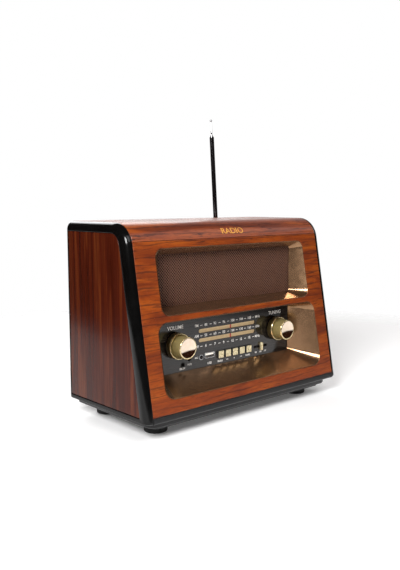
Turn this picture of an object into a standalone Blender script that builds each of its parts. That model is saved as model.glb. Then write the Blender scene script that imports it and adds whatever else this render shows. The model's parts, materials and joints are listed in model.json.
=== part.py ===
"""Table radio with a sloping wooden front, two framed windows and a telescopic rod antenna.

Metres, +Z up, the front faces -Y, the origin is the centre of the footprint on the table.
"""

from math import atan2, cos, pi, radians, sin, sqrt, tan

import bmesh
import bpy
from mathutils import Matrix, Vector

# Cabinet
WIDTH = 0.2806
HEIGHT = 0.2048
DEPTH = 0.1330
CABINET_BOTTOM = 0.0190
LEAN = radians(10.37)
RIM = 0.0073
TOP_CORNER = 0.025
BOARD = 0.0080
SEAM_Z = 0.1873
WOOD_BOTTOM = 0.0254
GAP = 0.0003

# Side inlay, measured in from the cabinet's outline
INLAY_FRONT = 0.0118
INLAY_TOP = 0.0098
INLAY_BOTTOM = 0.0050
INLAY_REAR = 0.0018
INLAY_DEEP = 0.0033

# How far the rolled edge of a side frame climbs at its foot and at its rear
ROLL_BOTTOM = 0.0012
ROLL_REAR = 0.0008

# Windows in the front board: half width, lowest z, highest z, corner radius
SPEAKER_WINDOW = (0.1081, 0.1157, 0.1799, 0.0095)
DIAL_WINDOW = (0.1154, 0.0379, 0.1101, 0.0120)
# Where the two funnels end, on the upright plane of grille and dial
GRILLE_FRAME = (0.0966, 0.1211, 0.1731, 0.0030)
DIAL_FRAME = (0.0962, 0.0518, 0.1054, 0.0030)
DIAL_SET_BACK = 0.0395
BEZEL_WALL = 0.0012
BEZEL_PROUD = 0.0004
BEZEL_LIP = 0.0006
BEZEL_FLANGE = 0.0035

# Controls on the dial
KNOB_X = 0.0741
KNOB_Z = 0.0803
SHAFT_R = 0.0030
BORE_PLAY = 0.0003
BUTTON_Z = 0.0622
BUTTON_SIZE = (0.0080, 0.0079)
BUTTON_FIRST_X = -0.0118
BUTTON_PITCH = 0.0106
BUTTON_NAMES = ("mode", "back", "play", "next", "band")
SCALE_HALF = 0.0422
SCALE_TALL = 0.0040
SCALE_Z = (0.0807, 0.0906)
POINTER_X = 0.0063
SWITCH_X = 0.0510
SWITCH_Z = 0.0622
USB_AT = (-0.0274, 0.0636)
AUX_AT = (-0.0555, 0.0640)
DC_AT = (-0.0645, 0.0583)
LED_AT = (-0.0393, 0.0627)

# Cord drive behind the dial
DRUM_AT = (0.0, 0.0720)
DRUM_R = 0.0261
DRUM_LIP = 0.0010
IDLER_R = 0.0040
IDLER_PIN_R = 0.0015
IDLER_X = 0.0570
IDLER_Z = 0.1000
CORD_R = 0.0004
DRIVE_BACK = 0.0206

# Base
PLINTH_IN = 0.0090
PLINTH_BOTTOM = 0.0125
PLINTH_REAR_IN = 0.0006
STEP_IN = 0.0155
STEP_BOTTOM = 0.0095
FOOT_R = 0.0118
FOOT_X = 0.1048
FRONT_FOOT_IN = 0.0340
REAR_FOOT_IN = 0.0165

# Rod antenna
ANTENNA_X = 0.0796
PIVOT_Z = 0.1800
ANTENNA_LEAN = radians(3.9)
ANTENNA_OUT = 0.0095
ELBOW_R = 0.0036
ELBOW_UP = 0.0100
OUTER_TUBE_TOP = 0.1225
TUBE_STEP = 0.0014
TUBE_R = 0.00275
TUBE_WALL = 0.00035
ROD_SHOWS = 0.0178

# Back cover
BACK_THICK = 0.0025
DOOR_SIZE = (0.0780, 0.0300)
DOOR_AT = (-0.0700, 0.0560)
DOOR_THICK = 0.0018
CELL_R = 0.0090
CELL_LONG = 0.0650

TOTAL_DEPTH = DEPTH + ANTENNA_OUT + ELBOW_R
FRONT_LOW_Y = -TOTAL_DEPTH / 2
BACK_Y = FRONT_LOW_Y + DEPTH
DIAL_Y = FRONT_LOW_Y + DIAL_SET_BACK
ANTENNA_Y = BACK_Y + ANTENNA_OUT
DRIVE_Y = DIAL_Y + DRIVE_BACK
HALF = WIDTH / 2
SIDE_INNER = HALF - RIM
BOARD_HALF = SIDE_INNER - GAP

X_AXIS = Vector((1, 0, 0))
Y_AXIS = Vector((0, 1, 0))
Z_AXIS = Vector((0, 0, 1))


def clear_scene():
    for thing in list(bpy.data.objects):
        bpy.data.objects.remove(thing, do_unlink=True)


def finish(name, colour, roughness, metallic=0.0, coat=0.0):
    material = bpy.data.materials.new(name)
    material.use_nodes = True
    shader = material.node_tree.nodes["Principled BSDF"]
    shader.inputs["Base Color"].default_value = (*colour, 1.0)
    shader.inputs["Roughness"].default_value = roughness
    shader.inputs["Metallic"].default_value = metallic
    shader.inputs["Coat Weight"].default_value = coat
    return material


def add_object(name, bm, material, at=(0, 0, 0), smooth=False):
    bmesh.ops.recalc_face_normals(bm, faces=bm.faces)
    mesh = bpy.data.meshes.new(name)
    bm.to_mesh(mesh)
    bm.free()
    if smooth:
        mesh.shade_smooth()
        mesh.set_sharp_from_angle(angle=radians(32))
    thing = bpy.data.objects.new(name, mesh)
    thing.location = at
    if material:
        mesh.materials.append(material)
    bpy.context.scene.collection.objects.link(thing)
    return thing


def rounded(corners, radii, steps):
    """Points of a closed outline whose corners are arcs of the given radii."""
    points = []
    count = len(corners)
    for i, radius in enumerate(radii):
        here = Vector(corners[i])
        before = (Vector(corners[i - 1]) - here).normalized()
        after = (Vector(corners[(i + 1) % count]) - here).normalized()
        half_angle = before.angle(after) / 2
        centre = here + (before + after).normalized() * radius / sin(half_angle)
        reach = radius / tan(half_angle)
        start = here + before * reach - centre
        end = here + after * reach - centre
        first = atan2(start.y, start.x)
        turn = (atan2(end.y, end.x) - first + pi) % (2 * pi) - pi
        for step in range(steps + 1):
            angle = first + turn * step / steps
            points.append((centre.x + radius * cos(angle), centre.y + radius * sin(angle)))
    return points


def rectangle(x_low, x_high, z_low, z_high, radius=0.0, steps=4):
    corners = [(x_low, z_low), (x_high, z_low), (x_high, z_high), (x_low, z_high)]
    return rounded(corners, [radius] * 4, steps) if radius else corners


def circle(x, z, radius, sides=24):
    return [
        (x + radius * cos(2 * pi * i / sides), z + radius * sin(2 * pi * i / sides))
        for i in range(sides)
    ]


PLANES = {
    "YZ": lambda p, depth: (depth, p[0], p[1]),
    "XZ": lambda p, depth: (p[0], depth, p[1]),
    "XY": lambda p, depth: (p[0], p[1], depth),
}


def skin_loops(bm, loops, ring=False):
    """Joins loops of equal length with faces, and closes the ends or the ring."""
    rows = [[bm.verts.new(point) for point in loop] for loop in loops]
    count = len(rows[0])
    pairs = list(zip(rows, rows[1:]))
    if ring:
        pairs.append((rows[-1], rows[0]))
    for low, high in pairs:
        for i in range(count):
            j = (i + 1) % count
            bm.faces.new((low[i], low[j], high[j], high[i]))
    if not ring:
        bm.faces.new(rows[0])
        bm.faces.new(rows[-1])


def loft(name, loops, material, ring=False, smooth=False):
    bm = bmesh.new()
    skin_loops(bm, loops, ring)
    return add_object(name, bm, material, smooth=smooth)


def prism(name, outline, plane, low, high, material=None, smooth=False):
    place = PLANES[plane]
    loops = [[place(p, depth) for p in outline] for depth in (low, high)]
    return loft(name, loops, material, smooth=smooth)


def block(name, low, high, material=None, edge=0.0):
    thing = prism(name, rectangle(low[0], high[0], low[1], high[1]), "XY", low[2], high[2], material)
    if edge:
        soften(thing, edge)
    return thing


def soften(thing, width, segments=2):
    bevel = thing.modifiers.new("edge", "BEVEL")
    bevel.width = width
    bevel.segments = segments
    bevel.limit_method = "ANGLE"
    bevel.angle_limit = radians(40)


def turned(name, profile, at, material, axis=Y_AXIS, sides=24, ring=False):
    """A turned solid from (distance along the axis, radius) pairs: end to end, or a closed ring."""
    side = X_AXIS if abs(axis.x) < 0.9 else Z_AXIS
    across = axis.cross(side).normalized()
    side = across.cross(axis).normalized()
    loops = []
    for along, radius in profile:
        loops.append([
            axis * along
            + side * radius * cos(2 * pi * i / sides)
            + across * radius * sin(2 * pi * i / sides)
            for i in range(sides)
        ])
    bm = bmesh.new()
    skin_loops(bm, loops, ring)
    return add_object(name, bm, material, at, smooth=True)


def combine(thing, others, operation):
    """Adds each other solid to this one, or cuts it away, and leaves the others out of the render."""
    for other in others:
        change = thing.modifiers.new(operation.lower() + "_" + other.name, "BOOLEAN")
        change.operation = operation
        change.solver = "EXACT"
        change.object = other
        other.hide_render = True
        other.display_type = "WIRE"
    return thing


def cut(thing, *others):
    return combine(thing, others, "DIFFERENCE")


def join(thing, *others):
    return combine(thing, others, "UNION")


def put_under(holder, *things):
    """Parents the pieces to a holder without moving them."""
    for thing in things:
        thing.parent = holder
        thing.matrix_parent_inverse = Matrix.Translation(holder.location).inverted()


def holder(name, at):
    """An empty on a joint's axis."""
    empty = bpy.data.objects.new(name, None)
    empty.location = at
    empty.empty_display_size = 0.01
    bpy.context.scene.collection.objects.link(empty)
    return empty


def front_y(z):
    """The front plane's y at a height."""
    return FRONT_LOW_Y + (z - CABINET_BOTTOM) * tan(LEAN)


def side_outline(front, top, bottom, rear, steps=8):
    """The cabinet seen from the side, as (y, z), each edge moved in by its own distance."""
    low, high, back = CABINET_BOTTOM + bottom, HEIGHT - top, BACK_Y - rear
    shift = front / cos(LEAN)
    corners = [(front_y(low) + shift, low), (back, low), (back, high), (front_y(high) + shift, high)]
    inner = max(0.0006, 0.0030 - bottom)
    return rounded(corners, [inner, inner, inner, TOP_CORNER - front], steps)


def make_finishes():
    return {
        "front_wood": finish("orange_brown_veneer", (0.35, 0.085, 0.025), 0.32, coat=0.5),
        "side_wood": finish("dark_walnut_veneer", (0.12, 0.024, 0.012), 0.38, coat=0.4),
        "gloss_black": finish("piano_black_plastic", (0.006, 0.006, 0.007), 0.08, coat=1.0),
        "base_plastic": finish("charcoal_plastic", (0.035, 0.036, 0.04), 0.38),
        "bronze": finish("satin_bronze", (0.42, 0.27, 0.15), 0.34, metallic=1.0),
        "champagne": finish("champagne_metal", (0.72, 0.60, 0.42), 0.25, metallic=1.0),
        "grille": finish("brown_mesh", (0.09, 0.045, 0.03), 0.5, metallic=0.5),
        "dial": finish("smoked_dial", (0.035, 0.035, 0.038), 0.16, coat=0.6),
        "scale": finish("tan_scale", (0.42, 0.32, 0.20), 0.55),
        "pointer": finish("red_pointer", (0.6, 0.03, 0.02), 0.4),
        "cream": finish("cream_button", (0.72, 0.62, 0.42), 0.28, metallic=0.6),
        "plastic": finish("black_plastic", (0.02, 0.02, 0.02), 0.5),
        "steel": finish("bright_steel", (0.70, 0.70, 0.72), 0.22, metallic=1.0),
        "chrome": finish("chrome_plate", (0.85, 0.85, 0.87), 0.08, metallic=1.0),
        "tube_black": finish("black_tube", (0.01, 0.01, 0.011), 0.22, coat=0.5),
        "rubber": finish("black_rubber", (0.015, 0.015, 0.015), 0.85),
        "board": finish("green_circuit_board", (0.02, 0.10, 0.04), 0.45),
        "fibreboard": finish("fibreboard", (0.32, 0.20, 0.11), 0.8),
        "paper": finish("speaker_paper", (0.03, 0.03, 0.03), 0.9),
        "ferrite": finish("ferrite", (0.03, 0.03, 0.032), 0.6),
        "copper": finish("enamelled_copper", (0.55, 0.22, 0.08), 0.35, metallic=1.0),
        "cell": finish("cell_wrap", (0.03, 0.12, 0.35), 0.4),
        "cord": finish("nylon_cord", (0.6, 0.55, 0.45), 0.7),
        "lens": finish("milky_lens", (0.75, 0.75, 0.72), 0.3),
        "gold": finish("gold_leaf", (0.80, 0.52, 0.20), 0.3, metallic=1.0),
    }


def make_side(side, sign, looks):
    """A black side frame with a rolled outer edge, and the veneered panel in its recess."""
    bend_steps = 5
    loops = []
    for step in range(bend_steps + 1):
        angle = pi / 2 * step / bend_steps
        bow = 1 - cos(angle)
        outline = side_outline(RIM * bow, RIM * bow, ROLL_BOTTOM * bow, ROLL_REAR * bow)
        loops.append([(sign * (SIDE_INNER + RIM * sin(angle)), y, z) for y, z in outline])
    inlay = side_outline(INLAY_FRONT, INLAY_TOP, INLAY_BOTTOM, INLAY_REAR)
    for x in (HALF, HALF - INLAY_DEEP):
        loops.append([(sign * x, y, z) for y, z in inlay])
    loft(side + "_side_frame", loops, looks["gloss_black"], smooth=True)
    fitted = side_outline(INLAY_FRONT + GAP, INLAY_TOP + GAP, INLAY_BOTTOM + GAP, INLAY_REAR + GAP)
    ends = sorted((sign * (HALF - INLAY_DEEP + GAP), sign * (HALF - GAP)))
    prism(side + "_side_panel", fitted, "YZ", *ends, looks["side_wood"])


def make_top_panel(looks):
    """The bent top board, from the seam over the rounded corner to the back."""
    bend_steps = 14
    turn = pi / 2 - LEAN
    centre_z = HEIGHT - TOP_CORNER
    centre_y = front_y(centre_z) + TOP_CORNER / cos(LEAN)
    paths = []
    for inset in (0.0, BOARD):
        start = Vector((front_y(SEAM_Z), SEAM_Z)) + Vector((cos(LEAN), -sin(LEAN))) * inset
        path = []
        for step in range(bend_steps + 1):
            angle = pi - LEAN - turn * step / bend_steps
            radius = TOP_CORNER - inset
            y = centre_y + radius * cos(angle)
            z = centre_z + radius * sin(angle)
            if z > start.y + 0.0005:
                path.append((y, z))
        paths.append([tuple(start)] + path + [(BACK_Y, HEIGHT - inset)])
    outline = paths[0] + paths[1][::-1]
    prism("top_panel", outline, "YZ", -BOARD_HALF, BOARD_HALF, looks["front_wood"], smooth=True)


def make_front_panel(looks):
    """The flat front board with its two windows."""
    top = SEAM_Z - GAP
    slope = Vector((sin(LEAN), cos(LEAN)))
    inward = Vector((cos(LEAN), -sin(LEAN)))
    low = Vector((front_y(WOOD_BOTTOM), WOOD_BOTTOM))
    high = low + slope * (top - WOOD_BOTTOM) / cos(LEAN)
    low_back = low + inward * BOARD / cos(LEAN) + slope * BOARD * tan(LEAN)
    outline = [tuple(low), tuple(high), tuple(high + inward * BOARD), tuple(low_back)]
    panel = prism("front_panel", outline, "YZ", -BOARD_HALF, BOARD_HALF, looks["front_wood"])
    cutters = []
    for label, window in (("speaker", SPEAKER_WINDOW), ("dial", DIAL_WINDOW)):
        half, z_low, z_high, radius = window
        hole = rectangle(-half, half, z_low, z_high, radius, steps=8)
        cutters.append(prism(label + "_window_cutter", hole, "XZ", FRONT_LOW_Y - 0.01, DIAL_Y))
    cut(panel, *cutters)


def funnel_loop(half, z_low, z_high, radius, place, steps=8):
    return [place(p) for p in rectangle(-half, half, z_low, z_high, radius, steps)]


def make_bezel(name, window, frame, looks):
    """A metal funnel from a window in the board down to the upright inner plane."""
    half, z_low, z_high, radius = window
    inner_half, inner_low, inner_high, inner_radius = frame
    back = DIAL_Y - GAP

    def on_front(p):
        return (p[0], front_y(p[1]) - BEZEL_PROUD / cos(LEAN), p[1])

    def upright(y):
        return lambda p: (p[0], y, p[1])

    def mouth(inset):
        return funnel_loop(half - inset, z_low + inset, z_high - inset, radius - inset, on_front)

    def ring_at(y, grow):
        return funnel_loop(
            inner_half + grow, inner_low - grow, inner_high + grow, inner_radius + grow, upright(y)
        )

    loops = [
        mouth(GAP + BEZEL_LIP),
        mouth(GAP),
        ring_at(back - BEZEL_WALL, BEZEL_WALL),
        ring_at(back - BEZEL_WALL, BEZEL_FLANGE),
        ring_at(back, BEZEL_FLANGE),
        ring_at(back, 0.0),
    ]
    loft(name, loops, looks["bronze"], ring=True, smooth=True)


def make_base(looks):
    """The base tray with its stepped plinth, and the four rubber feet under it."""
    tray_top = WOOD_BOTTOM - GAP
    low_y = front_y(CABINET_BOTTOM)
    outline = [
        (front_y(CABINET_BOTTOM + 0.0012), CABINET_BOTTOM + 0.0012),
        (low_y + 0.0012, CABINET_BOTTOM),
        (BACK_Y - 0.0006, CABINET_BOTTOM),
        (BACK_Y, CABINET_BOTTOM + 0.0006),
        (BACK_Y, tray_top),
        (front_y(tray_top), tray_top),
    ]
    tray = prism("base_tray", outline, "YZ", -BOARD_HALF, BOARD_HALF, looks["base_plastic"])
    lap = 0.002

    def deck(name, inset, rear_inset, radii, low, high):
        x, front, rear = HALF - inset, FRONT_LOW_Y + inset * 0.75, BACK_Y - rear_inset
        front_radius, rear_radius = radii
        shape = rounded(
            [(-x, front), (x, front), (x, rear), (-x, rear)],
            [front_radius, front_radius, rear_radius, rear_radius], 6,
        )
        return prism(name, shape, "XY", low, high, looks["base_plastic"])

    upper = deck("plinth_upper", PLINTH_IN, PLINTH_REAR_IN, (0.012, 0.002), PLINTH_BOTTOM,
                 CABINET_BOTTOM - GAP)
    lower = deck("plinth_lower", STEP_IN, STEP_IN / 2, (0.010, 0.010), STEP_BOTTOM, PLINTH_BOTTOM + lap)
    riser = block(
        "plinth_riser",
        (-SIDE_INNER + 0.004, FRONT_LOW_Y + 0.010, PLINTH_BOTTOM + lap),
        (SIDE_INNER - 0.004, BACK_Y - 0.006, CABINET_BOTTOM + lap),
    )
    join(tray, upper, lower, riser)
    for end, inset in (("front", FRONT_FOOT_IN), ("rear", REAR_FOOT_IN)):
        for side, sign in (("left", -1), ("right", 1)):
            y = FRONT_LOW_Y + inset if end == "front" else BACK_Y - inset
            tall = STEP_BOTTOM - GAP
            profile = [(0, FOOT_R - 0.0012), (0.0010, FOOT_R - 0.0002), (0.0020, FOOT_R), (tall, FOOT_R)]
            turned(f"foot_{end}_{side}", profile, (sign * FOOT_X, y, 0), looks["rubber"], Z_AXIS)


def make_speaker(looks):
    """Grille, wooden baffle and one moving-coil driver behind the upper window."""
    half, z_low, z_high, _ = GRILLE_FRAME
    middle_z = (z_low + z_high) / 2
    edge = BEZEL_FLANGE
    front = DIAL_Y
    prism(
        "speaker_grille",
        rectangle(-half - edge, half + edge, z_low - edge, z_high + edge, 0.004, 3),
        "XZ", front, front + 0.0012, looks["grille"],
    )
    baffle_front = front + 0.0012 + GAP
    baffle_back = baffle_front + 0.0040
    baffle = prism(
        "speaker_baffle",
        rectangle(-0.104, 0.104, z_low - 0.005, z_high + 0.008),
        "XZ", baffle_front, baffle_back, looks["fibreboard"],
    )
    mouth_r = 0.0285
    cutter = prism("baffle_cutter", circle(0, middle_z, mouth_r, 32), "XZ", front - 0.01, baffle_back + 0.01)
    cut(baffle, cutter)
    seat = baffle_back + GAP
    turned(
        "speaker_basket",
        [(0, 0.0330), (0.0016, 0.0330), (0.0054, 0.0300), (0.0150, 0.0205), (0.0150, 0.0106),
         (0.0141, 0.0106), (0.0141, 0.0200), (0.0050, 0.0292), (0, 0.0292)],
        (0, seat, middle_z), looks["steel"], sides=28, ring=True,
    )
    turned(
        "speaker_cone",
        [(0.0030, 0.0286), (0.0012, 0.0275), (0.0026, 0.0262), (0.0128, 0.0100), (0.0142, 0.0092),
         (0.0142, 0.0084), (0.0120, 0.0084), (0.0088, 0.0058), (0.0078, 0.0012), (0.0070, 0.0012),
         (0.0080, 0.0062), (0.0112, 0.0090), (0.0118, 0.0102), (0.0018, 0.0266), (0.0004, 0.0276),
         (0.0024, 0.0289)],
        (0, seat, middle_z), looks["paper"], sides=28, ring=True,
    )
    turned(
        "speaker_magnet",
        [(0.0153, 0.0160), (0.0160, 0.0175), (0.0170, 0.0175), (0.0170, 0.0225), (0.0270, 0.0225),
         (0.0270, 0.0170), (0.0292, 0.0170)],
        (0, seat, middle_z), looks["ferrite"], sides=28,
    )


def make_dial(looks):
    """The smoked dial plate with its slots, the tan scale plate, the pointer and its rail."""
    half, z_low, z_high, _ = DIAL_FRAME
    edge = BEZEL_FLANGE
    thick = 0.0018
    plate = prism(
        "dial_panel",
        rectangle(-half - edge, half + edge, z_low - edge, z_high + edge, 0.004, 3),
        "XZ", DIAL_Y, DIAL_Y + thick, looks["dial"],
    )
    near, far = DIAL_Y - 0.004, DIAL_Y + thick + 0.004
    cutters = []
    for i, z in enumerate(SCALE_Z):
        tall = SCALE_TALL / 2
        shape = rectangle(-SCALE_HALF, SCALE_HALF, z - tall, z + tall, tall - 0.0001, 5)
        cutters.append(prism(f"scale_cutter_{i}", shape, "XZ", near, far))
    for side in (-1, 1):
        shape = circle(side * KNOB_X, KNOB_Z, SHAFT_R + 0.0008, 20)
        cutters.append(prism(f"shaft_cutter_{side}", shape, "XZ", near, far))
    wide, tall = BUTTON_SIZE[0] / 2 + GAP, BUTTON_SIZE[1] / 2 + GAP
    for i in range(len(BUTTON_NAMES)):
        x = BUTTON_FIRST_X + i * BUTTON_PITCH
        shape = rectangle(x - wide, x + wide, BUTTON_Z - tall, BUTTON_Z + tall, 0.0008, 2)
        cutters.append(prism(f"button_cutter_{i}", shape, "XZ", near, far))
    for label, (x, z), wide, tall in (
        ("usb", USB_AT, 0.0071, 0.0031),
        ("switch", (SWITCH_X, SWITCH_Z), 0.0105, 0.0013),
    ):
        shape = rectangle(x - wide, x + wide, z - tall, z + tall)
        cutters.append(prism(label + "_cutter", shape, "XZ", near, far))
    for label, at, radius in (("aux", AUX_AT, 0.0028), ("dc", DC_AT, 0.0028), ("led", LED_AT, 0.0019)):
        cutters.append(prism(label + "_cutter", circle(*at, radius, 20), "XZ", near, far))
    cut(plate, *cutters)

    scale_front = DIAL_Y + 0.0040
    scale_plate = block(
        "dial_scale_plate",
        (-0.050, scale_front, 0.0725), (0.050, scale_front + 0.0010, 0.0985), looks["scale"],
    )
    rail_y, rail_z, rail_r = scale_front + 0.0045, 0.1015, 0.0010
    ears = []
    for side in (-1, 1):
        x = side * 0.0485
        ears.append(block(
            f"rail_ear_{side}", (x - 0.0012, scale_front + 0.0003, 0.0960),
            (x + 0.0012, rail_y + 0.0030, rail_z + 0.0030),
        ))
    join(scale_plate, *ears)
    hole = prism("rail_cutter", circle(rail_y, rail_z, rail_r + BORE_PLAY, 16), "YZ", -0.06, 0.06)
    cut(scale_plate, hole)
    turned("pointer_rail", [(-0.052, rail_r), (0.052, rail_r)], (0, rail_y, rail_z),
           looks["steel"], X_AXIS, sides=12)

    pointer_y = DIAL_Y + thick + 0.0006
    pointer = block(
        "dial_pointer", (POINTER_X - 0.0005, pointer_y, 0.0765),
        (POINTER_X + 0.0005, pointer_y + 0.0009, 0.1030), looks["pointer"],
    )
    carriage = block(
        "pointer_carriage", (POINTER_X - 0.0035, pointer_y, DRUM_AT[1] + DRUM_R + DRUM_LIP + 2 * GAP),
        (POINTER_X + 0.0035, DRIVE_Y + 0.0015, IDLER_Z + IDLER_R + 0.0001),
    )
    join(pointer, carriage)
    cut(pointer, prism("carriage_cutter", circle(rail_y, rail_z, rail_r + BORE_PLAY, 16),
                       "YZ", POINTER_X - 0.01, POINTER_X + 0.01))


def make_knob(label, sign, looks):
    """A push-on knob: a wide skirt with a sunk ring, and a dished cap on the same shaft."""
    at = (sign * KNOB_X, DIAL_Y, KNOB_Z)
    bore = SHAFT_R + BORE_PLAY
    skirt = turned(
        label + "_knob_skirt",
        [(-0.0006, 0.0128), (-0.0012, 0.0135), (-0.0074, 0.0135), (-0.0079, 0.0131), (-0.0079, 0.0124),
         (-0.0068, 0.0121), (-0.0068, bore), (-0.0006, bore)],
        at, looks["bronze"], sides=32, ring=True,
    )
    cap = turned(
        label + "_knob_cap",
        [(-0.0071, 0.0108), (-0.0080, 0.0112), (-0.0192, 0.0112), (-0.0200, 0.0106), (-0.0200, 0.0098),
         (-0.0193, 0.0065), (-0.0190, 0.0020)],
        at, looks["champagne"], sides=32,
    )
    cut(cap, prism(label + "_cap_cutter", circle(sign * KNOB_X, KNOB_Z, bore, 24), "XZ",
                   DIAL_Y - 0.0168, DIAL_Y + 0.002))
    return skirt, cap


def make_volume(looks):
    """The volume knob, its shaft and the control that the shaft turns in."""
    skirt, cap = make_knob("volume", -1, looks)
    at = (-KNOB_X, DIAL_Y, KNOB_Z)
    shaft = turned("volume_shaft", [(-0.0165, SHAFT_R - 0.0004), (-0.0160, SHAFT_R), (0.0130, SHAFT_R)],
                   at, looks["steel"], sides=24)
    turned(
        "volume_control",
        [(0.0040, 0.0046), (0.0100, 0.0046), (0.0100, 0.0082), (0.0175, 0.0082), (0.0175, SHAFT_R - 0.001),
         (0.0134, SHAFT_R - 0.001), (0.0134, SHAFT_R + BORE_PLAY), (0.0040, SHAFT_R + BORE_PLAY)],
        at, looks["steel"], sides=24, ring=True,
    )
    hinge = holder("volume_axis", at)
    put_under(hinge, skirt, cap, shaft)


def belt(circles, tube, steps_per_turn=24):
    """A taut loop, seen from the front, around circles listed clockwise: (x, z, radius)."""
    points = []
    spans = []
    for i, (x, z, radius) in enumerate(circles):
        next_x, next_z, next_radius = circles[(i + 1) % len(circles)]
        away = Vector((next_x - x, next_z - z))
        distance = away.length
        heading = atan2(away.y, away.x)
        rise = (next_radius - radius) / distance
        spans.append(heading + atan2(rise, sqrt(1 - rise * rise)))
    for i, (x, z, radius) in enumerate(circles):
        arrive = spans[i - 1] + pi / 2
        leave = spans[i] + pi / 2
        turn = (arrive - leave) % (2 * pi)
        steps = max(2, round(steps_per_turn * turn / (2 * pi)))
        for step in range(steps + 1):
            angle = arrive - turn * step / steps
            reach = radius + tube
            points.append((x + reach * cos(angle), z + reach * sin(angle)))
    return points


def make_tuning(looks):
    """Knob, spindle, cord, drum and the two idlers that carry the pointer's cord."""
    skirt, cap = make_knob("tuning", 1, looks)
    at = (KNOB_X, DIAL_Y, KNOB_Z)
    shaft = turned("tuning_spindle", [(-0.0165, SHAFT_R - 0.0004), (-0.0160, SHAFT_R), (0.0295, SHAFT_R)],
                   at, looks["steel"], sides=24)
    hinge = holder("tuning_axis", at)
    put_under(hinge, skirt, cap, shaft)

    wide = 0.0018
    lip = DRUM_LIP
    turned(
        "tuning_drum",
        [(-wide, DRUM_R + lip), (-wide + 0.0006, DRUM_R + lip), (-0.0009, DRUM_R), (0.0009, DRUM_R),
         (wide - 0.0006, DRUM_R + lip), (wide, DRUM_R + lip), (wide, 0.0060), (wide + 0.0012, 0.0060),
         (wide + 0.0012, SHAFT_R), (0.0130, SHAFT_R)],
        (DRUM_AT[0], DRIVE_Y, DRUM_AT[1]), looks["plastic"], sides=28,
    )
    bore = IDLER_PIN_R + BORE_PLAY
    for side, sign in (("left", -1), ("right", 1)):
        turned(
            "idler_" + side,
            [(-wide, IDLER_R + lip), (-wide + 0.0006, IDLER_R + lip), (-0.0009, IDLER_R),
             (0.0009, IDLER_R), (wide - 0.0006, IDLER_R + lip), (wide, IDLER_R + lip), (wide, bore),
             (-wide, bore)],
            (sign * IDLER_X, DRIVE_Y, IDLER_Z), looks["plastic"], sides=16, ring=True,
        )
    circles = [
        (-IDLER_X, IDLER_Z, IDLER_R), (IDLER_X, IDLER_Z, IDLER_R),
        (KNOB_X, KNOB_Z, SHAFT_R), (*DRUM_AT, DRUM_R),
    ]
    path = belt(circles, CORD_R + GAP)
    curve = bpy.data.curves.new("dial_cord", "CURVE")
    curve.dimensions = "3D"
    curve.bevel_depth = CORD_R
    curve.bevel_resolution = 1
    spline = curve.splines.new("POLY")
    spline.points.add(len(path) - 1)
    for point, (x, z) in zip(spline.points, path):
        point.co = (x, DRIVE_Y, z, 1)
    spline.use_cyclic_u = True
    curve.materials.append(looks["cord"])
    cord = bpy.data.objects.new("dial_cord", curve)
    bpy.context.scene.collection.objects.link(cord)

    capacitor_front = DRIVE_Y + 0.0090
    capacitor = block(
        "tuning_capacitor",
        (DRUM_AT[0] - 0.0105, capacitor_front, DRUM_AT[1] - 0.0105),
        (DRUM_AT[0] + 0.0105, capacitor_front + 0.0130, DRUM_AT[1] + 0.0105), looks["plastic"], 0.0008,
    )
    cut(capacitor, prism("capacitor_cutter", circle(*DRUM_AT, SHAFT_R + BORE_PLAY, 20), "XZ",
                         capacitor_front - 0.003, DRIVE_Y + 0.0135))


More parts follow.
